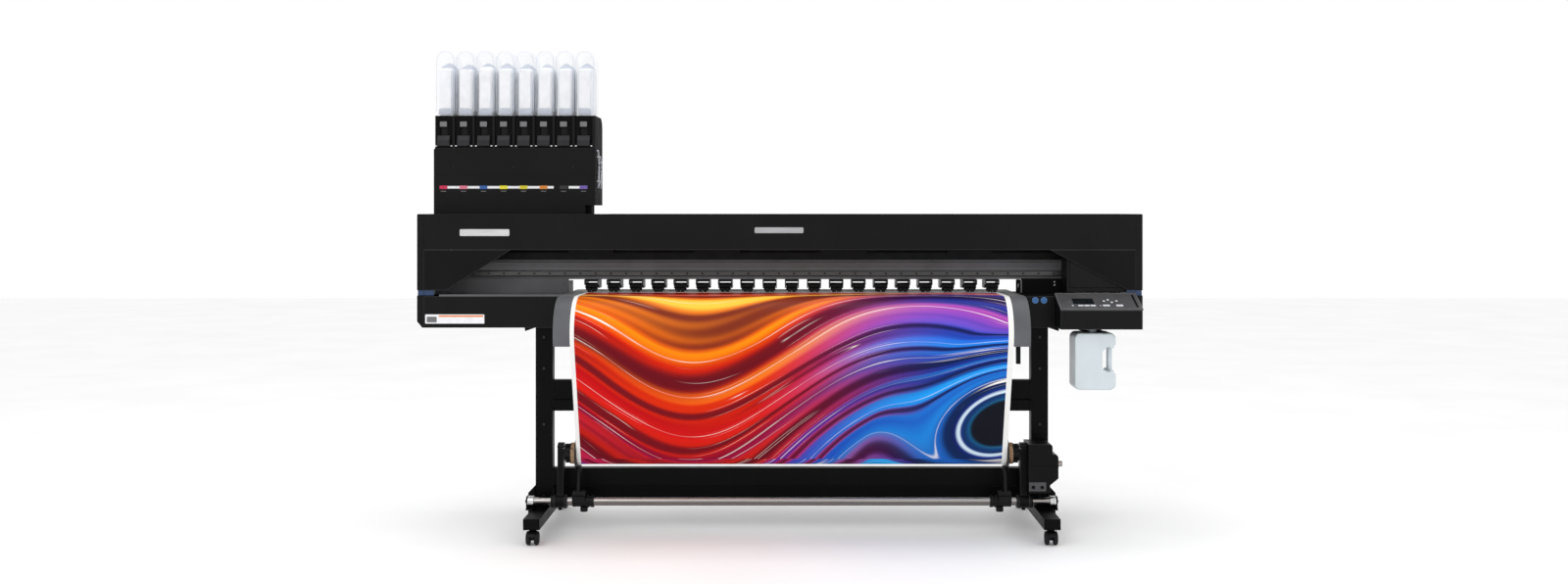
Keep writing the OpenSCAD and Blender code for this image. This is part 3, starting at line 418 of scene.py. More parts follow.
MAT = {
    "print": printed_media(),
    "cover": powder_coat("cover_black", (0.0062, 0.0062, 0.0065), 0.38, 0.10),
    "wing": powder_coat("wing_black", (0.0038, 0.0038, 0.0040), 0.40, 0.10),
    # painted highlight: a lighter grey for the rounded edges, standing in for the light they catch
    "edge": powder_coat("cover_edge", (0.050, 0.050, 0.052), 0.34),
    "dull": powder_coat("dull_black", (0.0060, 0.0060, 0.0064), 0.60, 0.02),
    "stand": powder_coat("stand_black", (0.0012, 0.0012, 0.0013), 0.42, 0.08),
    "frame": powder_coat("frame_black", (0.0030, 0.0030, 0.0032), 0.40, 0.10),
    "beam": powder_coat("beam_grey", (0.175, 0.175, 0.182), 0.36),
    "guide": powder_coat("guide_grey", (0.110, 0.111, 0.120), 0.42),
    "table": powder_coat("table_grey", (0.16, 0.16, 0.165), 0.38),
    "inner": powder_coat("inner_grey", (0.105, 0.105, 0.110), 0.36),
    "plastic": moulded("black_plastic", (0.0035, 0.0035, 0.0038), 0.42),
    "panel": moulded("panel_grey", (0.075, 0.075, 0.078), 0.45, 1400),
    "key": moulded("key_white", (0.62, 0.63, 0.65), 0.35),
    "rubber": moulded("tyre_rubber", (0.008, 0.008, 0.009), 0.6),
    "grey_plastic": moulded("grey_plastic", (0.075, 0.075, 0.08), 0.4),
    "steel": brushed("ground_steel", (0.085, 0.084, 0.083), 0.34),
    "stainless": brushed("stainless_tube", (0.33, 0.305, 0.285), 0.26),
    "pipe": pipe_steel(),
    "bright": brushed("bright_cap", (0.62, 0.62, 0.62), 0.22, (1, 1, 0.1)),
    "zinc": brushed("zinc_bolt", (0.035, 0.035, 0.037), 0.35, (1, 1, 1)),
    "badge": brushed("badge_plate", (0.42, 0.42, 0.43), 0.34, (0.05, 1, 1)),
    "badge_light": brushed("badge_plate_light", (0.62, 0.62, 0.63), 0.30, (0.05, 1, 1)),
    "card": cardboard(),
    "media": blank_media(),
    "blue": flat_colour("accent_blue", (0.006, 0.030, 0.095), 0.4),
    "disc_blue": flat_colour("disc_blue", (0.020, 0.11, 0.33), 0.4),
    "disc_rim": flat_colour("disc_rim", (0.10, 0.26, 0.52), 0.4),
    "film": film("pack_film", (0.86, 0.89, 0.94), 0.20, 0.26),
    # painted highlight: lighter grey for the panel's border strips, standing in for light along its edges
    "rim": moulded("panel_rim_highlight", (0.14, 0.14, 0.145), 0.4),
    "label": flat_colour("white_label", (0.80, 0.80, 0.82), 0.5),
    "orange": flat_colour("label_orange", (0.75, 0.22, 0.06), 0.5),
    "pouch": pouch(),
    "fold": flat_colour("pouch_fold", (0.44, 0.48, 0.56), 0.45),
    # welded seam of the sleeves; its opaque grey-blue is also a painted edge line standing for the film's
    # refraction
    "seam": flat_colour("film_seam_painted_edge", (0.60, 0.66, 0.76), 0.30),
    "window": flat_colour("slot_window", (0.135, 0.135, 0.14), 0.4),
    "ramp": moulded("latch_grey", (0.022, 0.022, 0.024), 0.4),
    "vent": film("vent_tube", (0.62, 0.65, 0.70), 0.75, 0.2),
    "tank": blown_plastic(),
    "screen": screen_glass(),
}
# ink tags under the eight packs, from left to right
TAGS = [
    flat_colour(f"tag_{i}", c, 0.45) for i, c in enumerate((
        (0.50, 0.006, 0.06), (0.62, 0.15, 0.22), (0.010, 0.08, 0.30), (0.70, 0.62, 0.02),
        (0.60, 0.50, 0.01), (0.60, 0.20, 0.02), (0.006, 0.006, 0.006), (0.13, 0.08, 0.34)))
]


# ---- mesh helpers ----

def body_of(node):
    return frame["nodes"][node]["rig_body"]


def finish_piece(name, bm, body, material, node=None, smooth=40.0, weighted=True):
    """Turns a bmesh into a piece on a body; material may be one material or a list."""
    mesh = bpy.data.meshes.new(name)
    bmesh.ops.recalc_face_normals(bm, faces=bm.faces)
    for face in bm.faces:
        face.smooth = True
    bm.to_mesh(mesh)
    bm.free()
    mesh.set_sharp_from_angle(angle=math.radians(smooth))
    for m in material if isinstance(material, (list, tuple)) else [material]:
        mesh.materials.append(m)
    piece = bpy.data.objects.new(name, mesh)
    bpy.context.scene.collection.objects.link(piece)
    if weighted:
        modifier = piece.modifiers.new("flat_faces", "WEIGHTED_NORMAL")
        modifier.keep_sharp = True
    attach(piece, body)
    if node:
        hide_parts(node)
    return piece


def round_edges(bm, width, segments=2, edge_index=-1):
    """Bevels the sharp edges, leaving out those too short to take the width."""
    sharp_from = math.radians(32)
    sharp = [e for e in bm.edges if len(e.link_faces) == 2 and e.calc_face_angle(0) > sharp_from]
    tight = {v for e in sharp if e.calc_length() < 2.4 * width for v in e.verts}
    chosen = [e for e in sharp if not tight.intersection(e.verts)]
    if chosen:
        bmesh.ops.bevel(bm, geom=chosen, offset=width, segments=segments, profile=0.5, affect="EDGES",
                        clamp_overlap=True, material=edge_index)


def cad_bmesh(node):
    """The CAD node's mesh with its triangles joined back into flat faces."""
    bm = bmesh.new()
    bm.from_mesh(frame["nodes"][node].data)
    bmesh.ops.remove_doubles(bm, verts=bm.verts, dist=0.00002)
    bmesh.ops.dissolve_limit(bm, angle_limit=math.radians(0.4), verts=bm.verts, edges=bm.edges)
    return bm


def refine(node, width, materials, slot, segments=2, choose=None, edge_index=-1):
    """A CAD node with rounded edges; materials names its looks, and choose(face, centre) picks one."""
    bm = cad_bmesh(node)
    if choose:
        bm.normal_update()
        for face in bm.faces:
            face.material_index = int(choose(face, face.calc_center_median()))
    round_edges(bm, width, segments, edge_index)
    finish_piece(node + "_finished", bm, body_of(node), [MAT[m] for m in materials.split()], node)


def add_box(bm, low, high, index=0):
    low, high = Vector(low), Vector(high)
    made = bmesh.ops.create_cube(bm, size=1)["verts"]
    place = Matrix.Translation((low + high) / 2) @ Matrix.Diagonal((*(high - low), 1))
    bmesh.ops.transform(bm, matrix=place, verts=made)
    for face in {f for v in made for f in v.link_faces}:
        face.material_index = index


def add_lathe(bm, profile, origin, axis, steps=32, index=0):
    """Turns a profile of (distance along axis, radius) about the axis through origin."""
    turn = Vector(axis).to_track_quat("Z", "Y").to_matrix().to_4x4()
    place = Matrix.Translation(Vector(origin)) @ turn
    rings = []
    for along, radius in profile:
        if radius < 1e-6:
            rings.append([bm.verts.new(place @ Vector((0, 0, along)))])
            continue
        rings.append([
            bm.verts.new(place @ Vector((radius * math.cos(a), radius * math.sin(a), along)))
            for a in (2 * math.pi * k / steps for k in range(steps))
        ])
    for low, high in zip(rings, rings[1:]):
        for k in range(steps):
            a, b = low[k % len(low)], low[(k + 1) % len(low)]
            c, d = high[(k + 1) % len(high)], high[k % len(high)]
            corners = list(dict.fromkeys((a, b, c, d)))
            if len(corners) > 2:
                bm.faces.new(corners).material_index = index


def rounded_rect(width, height, radius, steps=5):
    """Outline of a rectangle with round corners, about its middle."""
    points = []
    for cx, cy, start in ((1, 1, 0), (-1, 1, 90), (-1, -1, 180), (1, -1, 270)):
        for k in range(steps + 1):
            a = math.radians(start + 90 * k / steps)
            points.append((cx * (width / 2 - radius) + radius * math.cos(a),
                           cy * (height / 2 - radius) + radius * math.sin(a)))
    return points


def add_plate(bm, points, thickness, matrix, chamfer=0.0, index=0):
    """A flat plate with the given outline in its own X-Y, standing up along its own Z."""
    levels = [(0.0, 0.0), (thickness - chamfer, 0.0)]
    if chamfer:
        levels.append((thickness, chamfer))
    centre = Vector((sum(p[0] for p in points), sum(p[1] for p in points))) / len(points)
    rings = []
    for z, inset in levels:
        ring = []
        for p in points:
            v = Vector(p) - centre
            v = centre + v * max(0.0, 1 - inset / max(v.length, 1e-6))
            ring.append(bm.verts.new(matrix @ Vector((v.x, v.y, z))))
        rings.append(ring)
    count = len(points)
    for low, high in zip(rings, rings[1:]):
        for k in range(count):
            quad = (low[k], low[(k + 1) % count], high[(k + 1) % count], high[k])
            bm.faces.new(quad).material_index = index
    bm.faces.new(rings[0][::-1]).material_index = index
    bm.faces.new(rings[-1]).material_index = index


def facing_front(x, y, z):
    """A frame whose own X is the row's X, Y is up, and Z points at the operator."""
    return Matrix.Translation((x, y, z)) @ Matrix.Rotation(math.radians(90), 4, "X")


def add_screw(bm, place, axis, radius, index=0):
    """A pan-head screw with a hexagon socket."""
    head = ((-0.2, 1), (0.35, 1), (0.6, 0.85), (0.65, 0.5))
    socket = ((0.65, 0.5), (0.25, 0.45), (0.25, 0))
    for shape, steps in ((head, 20), (socket, 6)):
        add_lathe(bm, [(along * radius, out * radius) for along, out in shape], place, axis, steps, index)


def skin(bm, rings, index=0):
    """Joins rings of points into a closed skin."""
    rows = [[bm.verts.new(p) for p in ring] for ring in rings]
    for a, b in zip(rows, rows[1:]):
        for n in range(len(a)):
            bm.faces.new((a[n], a[(n + 1) % len(a)], b[(n + 1) % len(a)], b[n])).material_index = index
    bm.faces.new(rows[0][::-1]).material_index = index
    bm.faces.new(rows[-1]).material_index = index


def add_tube(bm, points, radius, steps=10, index=0):
    """A round tube along a line of points."""
    rings = []
    for k, point in enumerate(points):
        ahead = Vector(points[min(k + 1, len(points) - 1)]) - Vector(points[max(k - 1, 0)])
        place = Matrix.Translation(Vector(point)) @ ahead.to_track_quat("Z", "X").to_matrix().to_4x4()
        rings.append([
            tuple(place @ Vector((radius * math.cos(t), radius * math.sin(t), 0)))
            for t in (2 * math.pi * n / steps for n in range(steps))
        ])
    skin(bm, rings, index)


# ---- media ----

def tangent(a, ra, b, rb, side):
    """Angle at which a straight web leaves circle a for circle b."""
    d = b - a
    return math.atan2(d.y, d.x) + side * math.acos((ra - rb) / d.length)


def web_line(out):
    """The web's path in the Y-Z plane, out metres away from what it slides over."""
    platen_low, platen_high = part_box("platen")
    guide_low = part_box("paper_guide")[0]
    reel = sum(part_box("takeup_roll"), Vector()) / 2
    supply = sum(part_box("supply_roll"), Vector()) / 2
    lift, roll_gap = 0.0002, 0.00035  # clear of the table and guide, and of the rolls
    rear_r = 0.095  # rear edge of the table
    table_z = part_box("media_web")[1].z - MEDIA_THICK - lift
    front_r = platen_low.y - guide_low.y
    front = Vector((platen_low.y, table_z - front_r))
    rear = Vector((platen_high.y - rear_r + 0.0001, table_z - rear_r))
    front_r, rear_r = front_r + lift, rear_r + lift
    reel, supply = Vector((reel.y, reel.z)), Vector((supply.y, supply.z))
    start = tangent(rear, rear_r, supply, SUPPLY_R + roll_gap, 1)
    end = tangent(front, front_r, reel, REEL_R + roll_gap, -1) + 2 * math.pi

    def on(centre, radius, angle):
        return centre + (radius + out) * Vector((math.cos(angle), math.sin(angle)))

    def sweep(centre, radius, a, b, steps):
        return [on(centre, radius, a + (b - a) * k / steps) for k in range(steps + 1)]

    def straight(a, b, steps):
        return [a.lerp(b, k / steps) for k in range(1, steps)]

    up = sweep(rear, rear_r, start, math.pi / 2, 30)
    over = sweep(front, front_r, math.pi / 2, end, 40)
    first, last = on(supply, SUPPLY_R + roll_gap, start), on(reel, REEL_R + roll_gap, end)
    return ([first] + straight(first, up[0], 4) + up + straight(up[-1], over[0], 16) + over
            + straight(over[-1], last, 16) + [last])


def media_web():
    """The sheet from the supply roll to the reel; the print starts under the pinch rollers."""
    low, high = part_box("media_web")
    inner, outer = web_line(0.0), web_line(MEDIA_THICK)
    columns = 24
    reach = [0.0]
    for a, b in zip(outer, outer[1:]):
        reach.append(reach[-1] + (b - a).length)
    nip = next(d for d, p in zip(reach, outer) if p.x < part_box("pinch_rollers")[0].y + 0.004)
    bm = bmesh.new()
    uv = bm.loops.layers.uv.new("print")
    across = [low.x + (high.x - low.x) * c / columns for c in range(columns + 1)]
    under, top = ([[bm.verts.new((x, p.x, p.y)) for x in across] for p in line] for line in (inner, outer))
    share = {}
    for rows in (under, top):
        for d, row in zip(reach, rows):
            for c, vert in enumerate(row):
                share[vert] = (c / columns, (d - nip) / (reach[-1] - nip))

    def quad(*corners, printed=False):
        face = bm.faces.new(corners)
        face.material_index = 0 if printed else 1
        for loop in face.loops:
            loop[uv].uv = share[loop.vert]

    count = len(outer)
    for r in range(count - 1):
        for c in range(columns):
            for a in (under, top):
                quad(a[r][c], a[r][c + 1], a[r + 1][c + 1], a[r + 1][c], printed=a is top and reach[r] >= nip)
        for c in (0, columns):
            quad(under[r][c], top[r][c], top[r + 1][c], under[r + 1][c])
    for r in (0, count - 1):
        for c in range(columns):
            quad(under[r][c], under[r][c + 1], top[r][c + 1], top[r][c])
    web = finish_piece("printed_web", bm, "machine", [MAT["print"], MAT["media"]], "media_web",
                       weighted=False)


# ---- take-up reel and supply roll ----

def wound_roll(name, body, wound_r, spindle=False, printed=False):
    """Cardboard core, wound media with slightly uneven sides, flange discs and perhaps a spindle."""
    low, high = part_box(body)
    centre = (low + high) / 2
    web_low, web_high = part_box("media_web")
    core_r, core_in = 0.040, 0.0381
    half = 0.834  # half the core's length
    bm = bmesh.new()
    add_lathe(bm, ((-half, core_in), (-half, core_r), (half, core_r), (half, core_in), (-half, core_in)),
              centre, X, 64)
    finish_piece(name + "_core", bm, body, MAT["card"], body)

    bm = bmesh.new()
    edge = (web_high.x - web_low.x) / 2
    rng = random.Random(4)
    rings = 7
    inner_r = core_r + 0.0002
    profile = []
    for k in range(rings):
        r = inner_r + (wound_r - inner_r) * k / (rings - 1)
        profile.append((-edge + 0.0006 * rng.random() + (0.0004 if k == rings - 1 else 0), r))
    profile += [(-along, r) for along, r in reversed(profile)]
    profile.append(profile[0])
    add_lathe(bm, profile, centre, X, 96)
    uv = bm.loops.layers.uv.new("print")
    print_end = -62  # degrees below the front, where the blank leader starts
    for face in bm.faces:
        out = face.calc_center_median() - centre
        outside = math.hypot(out.y, out.z) > wound_r - 0.001 and abs(face.normal.x) < 0.5
        turn = math.degrees(math.atan2(out.z, -out.y))
        face.material_index = int(printed and outside and turn > print_end)
        for loop in face.loops:
            p = loop.vert.co - centre
            loop[uv].uv = ((p.x + edge) / (2 * edge), 1.0 - 0.06 * math.atan2(p.z, -p.y))
    finish_piece(name + "_wound", bm, body, [MAT["media"], MAT["print"]])

    bm = bmesh.new()
    disc_r = (high.z - low.z) / 2
    for s in (-1, 1):
        at = centre + X * s * (edge + 0.002)
        add_lathe(bm, ((0, inner_r), (0, disc_r - 0.0008), (0.0008, disc_r), (0.0022, disc_r),
                       (0.003, disc_r - 0.0008), (0.003, core_r + 0.006), (0.0065, core_r + 0.004),
                       (0.0065, inner_r), (0, inner_r)), at, X * s, 64)
    finish_piece(name + "_flanges", bm, body, MAT["plastic"])

    if spindle:
        bm = bmesh.new()
        for s in (-1, 1):
            at = centre + X * s * (half + 0.0002)
            add_lathe(bm, ((-0.03, core_in - 0.0003), (0, core_in - 0.0003), (0, core_r + 0.003),
                           (0.0045, core_r + 0.004), (0.006, core_r), (0.006, 0.018), (0.008, 0.015),
                           (0.027, 0.015), (0.0278, 0.014), (0.0278, 0)), at, X * s, 48)
        finish_piece(name + "_spindle", bm, body, MAT["plastic"])


# ---- casters ----

def caster(name):
    """Twin wheels under a narrow hood, with a web between them and a swivel stem behind."""
    fork, wheels = f"caster_{name}_fork", f"caster_{name}_wheels"
    low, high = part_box(wheels)
    centre = (low + high) / 2
    r = (high.z - low.z) / 2
    trail = 0.016  # axle to swivel stem
    stem = Vector((centre.x, centre.y - math.copysign(trail, centre.y), 0))
    bm = bmesh.new()
    add_lathe(bm, ((-0.0068, 0), (-0.0068, 0.0085), (-0.0060, 0.0092), (0.0060, 0.0092),
                   (0.0068, 0.0085), (0.0068, 0)), centre, X, 32)
    add_box(bm, centre + Vector((-0.0066, -0.0120, 0)), centre + Vector((0.0066, 0.0120, 0.0250)))
    round_edges(bm, 0.0008)
    hood = []
    hood_from, hood_step = 18, 8  # degrees round the wheel
    for k in range(19):
        turn = math.radians(hood_from + hood_step * k)
        hood.append([
            (centre.x + x, centre.y + radius * math.cos(turn), centre.z + radius * math.sin(turn))
            for x, radius in ((-0.0125, r + 0.0012), (-0.0125, r + 0.0028), (-0.0115, r + 0.0036),
                              (0.0115, r + 0.0036), (0.0125, r + 0.0028), (0.0125, r + 0.0012))
        ])
    skin(bm, hood)
    add_lathe(bm, ((0.0440, 0), (0.0440, 0.0100), (0.0540, 0.0100), (0.0550, 0.0090), (0.0550, 0)),
              stem, Z, 32)
    add_lathe(bm, ((0.0550, 0.0064), (0.0597, 0.0064)), stem, Z, 6, 1)
    finish_piece(fork + "_finished", bm, body_of(fork), [MAT["plastic"], MAT["bright"]],
                 fork)

    bm = bmesh.new()
    for s in (-1, 1):
        at = centre + X * s * 0.008
        add_lathe(bm, ((0, 0), (0, r - 0.004), (0.0010, r - 0.0016), (0.0036, r), (0.0108, r),
                       (0.0134, r - 0.0016), (0.0145, r - 0.004), (0.0136, r - 0.0056), (0.0122, r - 0.0070),
                       (0.0125, r - 0.009), (0.0155, r - 0.0105), (0.0155, 0.004), (0.0145, 0.003),
                       (0.0145, 0)), at, X * s, 48)
    add_lathe(bm, ((-0.0082, 0.003), (0.0082, 0.003)), centre, X, 16)
    finish_piece(wheels + "_finished", bm, body_of(wheels), MAT["rubber"], wheels)


# ---- ink packs ----

def pack_spots():
    """X of the middle of each ink pack."""
    return [sum(c.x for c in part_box(f"ink_pack_{i}")) / 2 for i in range(1, 9)]


def superellipse(cx, cy, w, d, z, power, around):
    """A level ring of points, squarer the smaller its power."""
    def squared(part):
        return math.copysign(abs(part) ** power, part)

    turns = [2 * math.pi * n / around for n in range(around)]
    return [(cx + w * squared(math.cos(a)), cy + d * squared(math.sin(a)), z) for a in turns]


def ink_pack(i):
    """A clear sleeve with a rounded hood and a welded seam over a white pouch with its label; the seam's
    opaque grey-blue is also a painted edge line for the film's refraction.
    """
    node = f"ink_pack_{i}"
    low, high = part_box(node)
    cx, cy = (low.x + high.x) / 2, (low.y + high.y) / 2
    w, d = (high.x - low.x) / 2 - 0.0006, (high.y - low.y) / 2 - 0.0006
    rack_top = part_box("ink_unit_rack")[1].z
    rng = random.Random(i)
    hood = 0.055  # height of the rounded top
    slot_top = rack_top + 0.013  # the sleeve narrows below this to enter its slot
    levels = 44
    rings, left, right = [], [], []
    for k in range(levels + 1):
        t = k / levels
        z = low.z + 0.0005 + (high.z - low.z - 0.0010) * (1 - (1 - t) ** 1.3)
        up = min(1.0, max(0.0, (z - (high.z - hood)) / hood))
        shrink = math.sqrt(max(0.0, 1 - up ** 2.3))
        in_slot = min(1.0, max(0.0, (slot_top - z) / 0.010))
        ww = (w - 0.0052 * in_slot) * (0.30 + 0.70 * shrink)
        dd = d * (0.70 + 0.30 * shrink)
        wrinkle = 1 - 0.008 * (1 + math.sin(60 * z + i * 2.1))
        rings.append(superellipse(cx, cy, ww * wrinkle, dd, z, 0.34, 48))
        if z > slot_top + 0.003:
            seam_out = ww * wrinkle - 0.0012
            left.append((cx - seam_out, low.y + 0.010, z - 0.0015))
            right.append((cx + seam_out, low.y + 0.010, z - 0.0015))
    bm = bmesh.new()
    skin(bm, rings)
    finish_piece(node + "_sleeve", bm, node, MAT["film"], node, smooth=60, weighted=False)
    # a real welded seam along the sleeve's outline, its grey-blue also a painted dark edge line of refraction
    bm = bmesh.new()
    add_tube(bm, left + right[::-1], 0.0009, 8)
    finish_piece(node + "_seam", bm, node, MAT["seam"], smooth=60, weighted=False)

    # the pouch stands just inside, with a peaked and folded top
    rings = []
    top, bottom = high.z - 0.040 - 0.006 * rng.random(), rack_top + 0.002
    lean = 0.006 * (rng.random() - 0.5)
    levels = 34
    for k in range(levels + 1):
        t = k / levels
        z = bottom + (top - bottom) * t
        peak = max(0.0, (t - 0.83) / 0.17)
        bulge = 1 + 0.02 * math.sin(math.pi * t) - 0.01 * math.sin(9 * t + i)
        ww = (w - 0.0065) * bulge * (1 - 0.90 * peak ** 2.2)
        dd = (d - 0.010) * (1 - 0.75 * peak ** 1.5)
        rings.append(superellipse(cx + lean * peak, cy, ww, dd, z, 0.45, 40))
    bm = bmesh.new()
    skin(bm, rings)
    fold_z = top - 0.019 - 0.004 * (i % 3)
    for face in bm.faces:
        face.material_index = int(face.calc_center_median().z > fold_z)
    finish_piece(node + "_pouch", bm, node, [MAT["pouch"], MAT["fold"]], smooth=60,
                 weighted=False)

    # blank label on the pouch's face, its folded foot, and the spout block in the slot
    bm = bmesh.new()
    front = low.y + 0.0085
    label_x = cx + 0.002 * (rng.random() - 0.5)
    add_plate(bm, rounded_rect(0.042, 0.150, 0.004), 0.0006,
              facing_front(label_x, front, bottom + 0.104), 0.0002, 0)
    add_plate(bm, rounded_rect(0.050, 0.022, 0.003), 0.0008,
              facing_front(cx, front - 0.0006, bottom + 0.015), 0.0003, 1)
    add_box(bm, (cx - 0.024, low.y + 0.010, low.z + 0.004), (cx + 0.024, high.y - 0.010, low.z + 0.100), 2)
    finish_piece(node + "_label", bm, node, [MAT["label"], MAT["fold"], MAT["plastic"]])


# ---- trim on the covers ----

def nameplates():
    """Plain metal plates where a machine of this kind carries its name."""
    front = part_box("front_cover")[0].y
    for name, x, z, width, height, material in (
        ("nameplate_middle", -0.003, 1.150, 0.187, 0.022, "badge"),
        ("nameplate_left", -1.129, 1.141, 0.190, 0.026, "badge_light"),
    ):
        bm = bmesh.new()
        add_plate(bm, rounded_rect(width, height, 0.004), 0.0012, facing_front(x, front, z), 0.0004)
        finish_piece(name, bm, body_of("front_cover"), MAT[material])


def lower_labels():
    """A blank label with a coloured stripe at the left, and two plain blue discs at the right."""
    body = body_of("lower_front_cover")
    left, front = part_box("lower_front_cover")[0].xy
    paper = 0.0004
    bm = bmesh.new()
    add_plate(bm, rounded_rect(0.226, 0.035, 0.002), paper,
              facing_front(left + 0.119, front, 0.8105), 0.0001, 0)
    add_plate(bm, rounded_rect(0.170, 0.0065, 0.001), 0.0002,
              facing_front(left + 0.143, front - paper, 0.8215), 0, 1)
    add_plate(bm, rounded_rect(0.038, 0.022, 0.002), 0.0002,
              facing_front(left + 0.031, front - paper, 0.8085), 0, 2)
    finish_piece("blank_label", bm, body, [MAT["label"], MAT["orange"], MAT["window"]])
    bm = bmesh.new()
    for x in (0.977, 1.010):
        at = (x, front, 0.882)
        add_lathe(bm, ((0, 0.0120), (0.0005, 0.0118), (0.0005, 0.0104), (0.0004, 0.0104)), at, -Y, 40, 1)
        add_lathe(bm, ((0, 0.0104), (0.0004, 0.0104), (0.0004, 0)), at, -Y, 40, 0)
    finish_piece("blue_discs", bm, body, [MAT["disc_blue"], MAT["disc_rim"]])


def case_trim():
    """Coloured tags under the packs, screws, rack windows, clips and the vent tubes at the side."""
    low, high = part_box("ink_unit_case")
    front = low.y
    body = body_of("ink_unit_case")
    spots = pack_spots()
    tag_z, line_z, screw_z, window_z, clip_z = 1.3165, 1.3010, 1.396, 1.5645, 1.4790
    white, grey = len(TAGS), len(TAGS) + 1
    bm = bmesh.new()
    # white strips behind tags 1 to 6 and 7 to 8
    for start, end in ((spots[0] + 0.015, spots[5] + 0.040), (spots[6] + 0.020, spots[7] - 0.015)):
        add_plate(bm, rounded_rect(end - start, 0.0095, 0.001), 0.0004,
                  facing_front((start + end) / 2, front, tag_z), 0, white)
    for i, x in enumerate(spots):
        add_plate(bm, rounded_rect(0.031, 0.0135, 0.0015), 0.0007, facing_front(x, front, tag_z), 0.0002, i)
        add_plate(bm, rounded_rect(0.021, 0.0026, 0.001), 0.0004, facing_front(x, front, line_z), 0, grey)
    finish_piece("ink_tags", bm, body, TAGS + [MAT["label"], MAT["window"]])

    bm = bmesh.new()
    for x in (-1.281, -1.046, -0.812):
        add_screw(bm, (x, front + 0.0016, screw_z), -Y, 0.0034)
    finish_piece("case_screws", bm, body, MAT["zinc"], weighted=False)

    bm = bmesh.new()
    for x in spots:
        add_plate(bm, rounded_rect(0.027, 0.020, 0.002), 0.0010,
                  facing_front(x, front - 0.001, window_z), 0.0003, 0)
        for s in (-1, 1):
            add_plate(bm, rounded_rect(0.0075, 0.0055, 0.0015), 0.0040,
                      facing_front(x + s * 0.0305, front + 0.006, clip_z), 0.0010, 1)
    finish_piece("slot_windows", bm, body_of("ink_unit_rack"), [MAT["window"], MAT["key"]])

    bm = bmesh.new()
    side, steps = high.x + 0.0055, 24
    into_case = high.x - 0.002
    for y, top, reach in ((0.085, 1.462, 0.145), (0.150, 1.440, 0.125)):
        bend = [Vector((side, y + 0.030 * t + 0.014 * math.sin(5 * t), top - reach * t))
                for t in (n / steps for n in range(steps + 1))]
        line = [(into_case, y, top)] + bend + [(into_case, bend[-1].y, bend[-1].z)]
        add_tube(bm, line, 0.0036, 12, 0)
        for at in (bend[4], bend[20]):
            add_box(bm, at - Vector((0.0060, 0.0060, 0.0035)), at + Vector((0.0045, 0.0060, 0.0035)), 1)
    finish_piece("vent_tubes", bm, body, [MAT["vent"], MAT["key"]])


def on_panel(x, up, out=0.0):
    """A frame on the control panel: X along it, Y up its slope, Z out of it."""
    low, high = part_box("control_panel")
    tilt, slope = math.radians(23.3), 0.132  # its slope is that long
    edge = Vector((x, low.y, high.z - slope * math.sin(tilt)))
    return Matrix.Translation(edge) @ Matrix.Rotation(tilt, 4, "X") @ Matrix.Translation((0, up, out))


def panel_trim():
    """Display glass, raised border strips whose lighter grey is a painted edge highlight, indicator lamps and
    the white domes on the arrow pad.
    """
    low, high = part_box("control_panel")
    body = body_of("control_panel")

    def add_dome(x, up, out, profile):
        place = on_panel(x, up, out)
        add_lathe(bm, profile, place.translation, place.to_3x3() @ Z, 20)

    bm = bmesh.new()
    add_plate(bm, rounded_rect(0.0795, 0.0455, 0.002), 0.0008, on_panel(1.146, 0.065, -0.0012), 0.0002)
    finish_piece("display_glass", bm, body, MAT["screen"])
    # raised border strips round the panel; their lighter grey is a painted highlight along its edges
    bm = bmesh.new()
    middle, width = (low.x + high.x) / 2, high.x - low.x
    for x, up, w, h in ((middle, 0.0026, width - 0.002, 0.0036), (low.x + 0.0030, 0.066, 0.0036, 0.124),
                        (high.x - 0.0026, 0.066, 0.0030, 0.124), (middle, 0.1295, width - 0.002, 0.0036)):
        add_plate(bm, rounded_rect(w, h, 0.0015), 0.0014, on_panel(x, up, -0.0002), 0.0006)
    finish_piece("panel_border_highlight", bm, body, MAT["rim"])
    bm = bmesh.new()
    for x, up, r in ((1.101, 0.028, 0.0040), (1.205, 0.028, 0.0030)):
        add_dome(x, up, -0.0002, ((0, r), (0.0010, r * 0.9), (0.0016, r * 0.5), (0.0017, 0)))
    finish_piece("panel_lamps", bm, body, MAT["key"])
    bm = bmesh.new()
    r = 0.0052
    for x, up in ((1.224, 0.062), (1.241, 0.073), (1.252, 0.052), (1.272, 0.063)):
        add_dome(x, up, 0.0012, ((0, r), (0.0012, r * 0.92), (0.0022, r * 0.6), (0.0025, 0)))
    finish_piece("arrow_domes", bm, body_of("key_arrows"), MAT["key"])


def inner_trim():
    """Screws of the rail, and the small brackets at both ends of the print table."""
    low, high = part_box("linear_rail")
    first, pitch = 0.035, 0.060
    bm = bmesh.new()
    x = low.x + first
    while x < high.x - 0.020:
        add_lathe(bm, ((-0.001, 0.0042), (0.0003, 0.0042), (0.0003, 0.0024), (-0.0004, 0.0024), (-0.0004, 0)),
                  (x, low.y, (low.z + high.z) / 2), -Y, 14)
        x += pitch
    finish_piece("rail_screws", bm, body_of("linear_rail"), MAT["plastic"], weighted=False)
    bm = bmesh.new()
    web_low, web_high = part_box("media_web")
    cover_y = 0.0258  # just in front of the table's upright inner covers
    for x in (web_low.x - 0.0535, web_high.x + 0.0825):
        add_plate(bm, rounded_rect(0.016, 0.050, 0.002), 0.0016, facing_front(x, cover_y, 0.928), 0.0004, 0)
        add_screw(bm, (x, cover_y - 0.0015, 0.944), -Y, 0.0026, 1)
    for z in (0.934, 0.946):
        add_screw(bm, (1.074, cover_y, z), -Y, 0.0036, 2)
    finish_piece("table_brackets", bm, body_of("platen"), [MAT["table"], MAT["zinc"], MAT["key"]])


# ---- edges of the CAD nodes ----

def on_strip(face, at):
    """Whether a face of the end covers belongs to the accent strips, which lie in grooves."""
    inside = abs(at.x) < 1.3618
    in_front = -0.0969 < at.y < -0.0924 and abs(at.x) < 1.3841
    at_side = 1.3851 < abs(at.x) < 1.3866 and at.y > -0.0911
    return 0.9001 < at.z < 0.9211 and (inside or in_front or at_side)


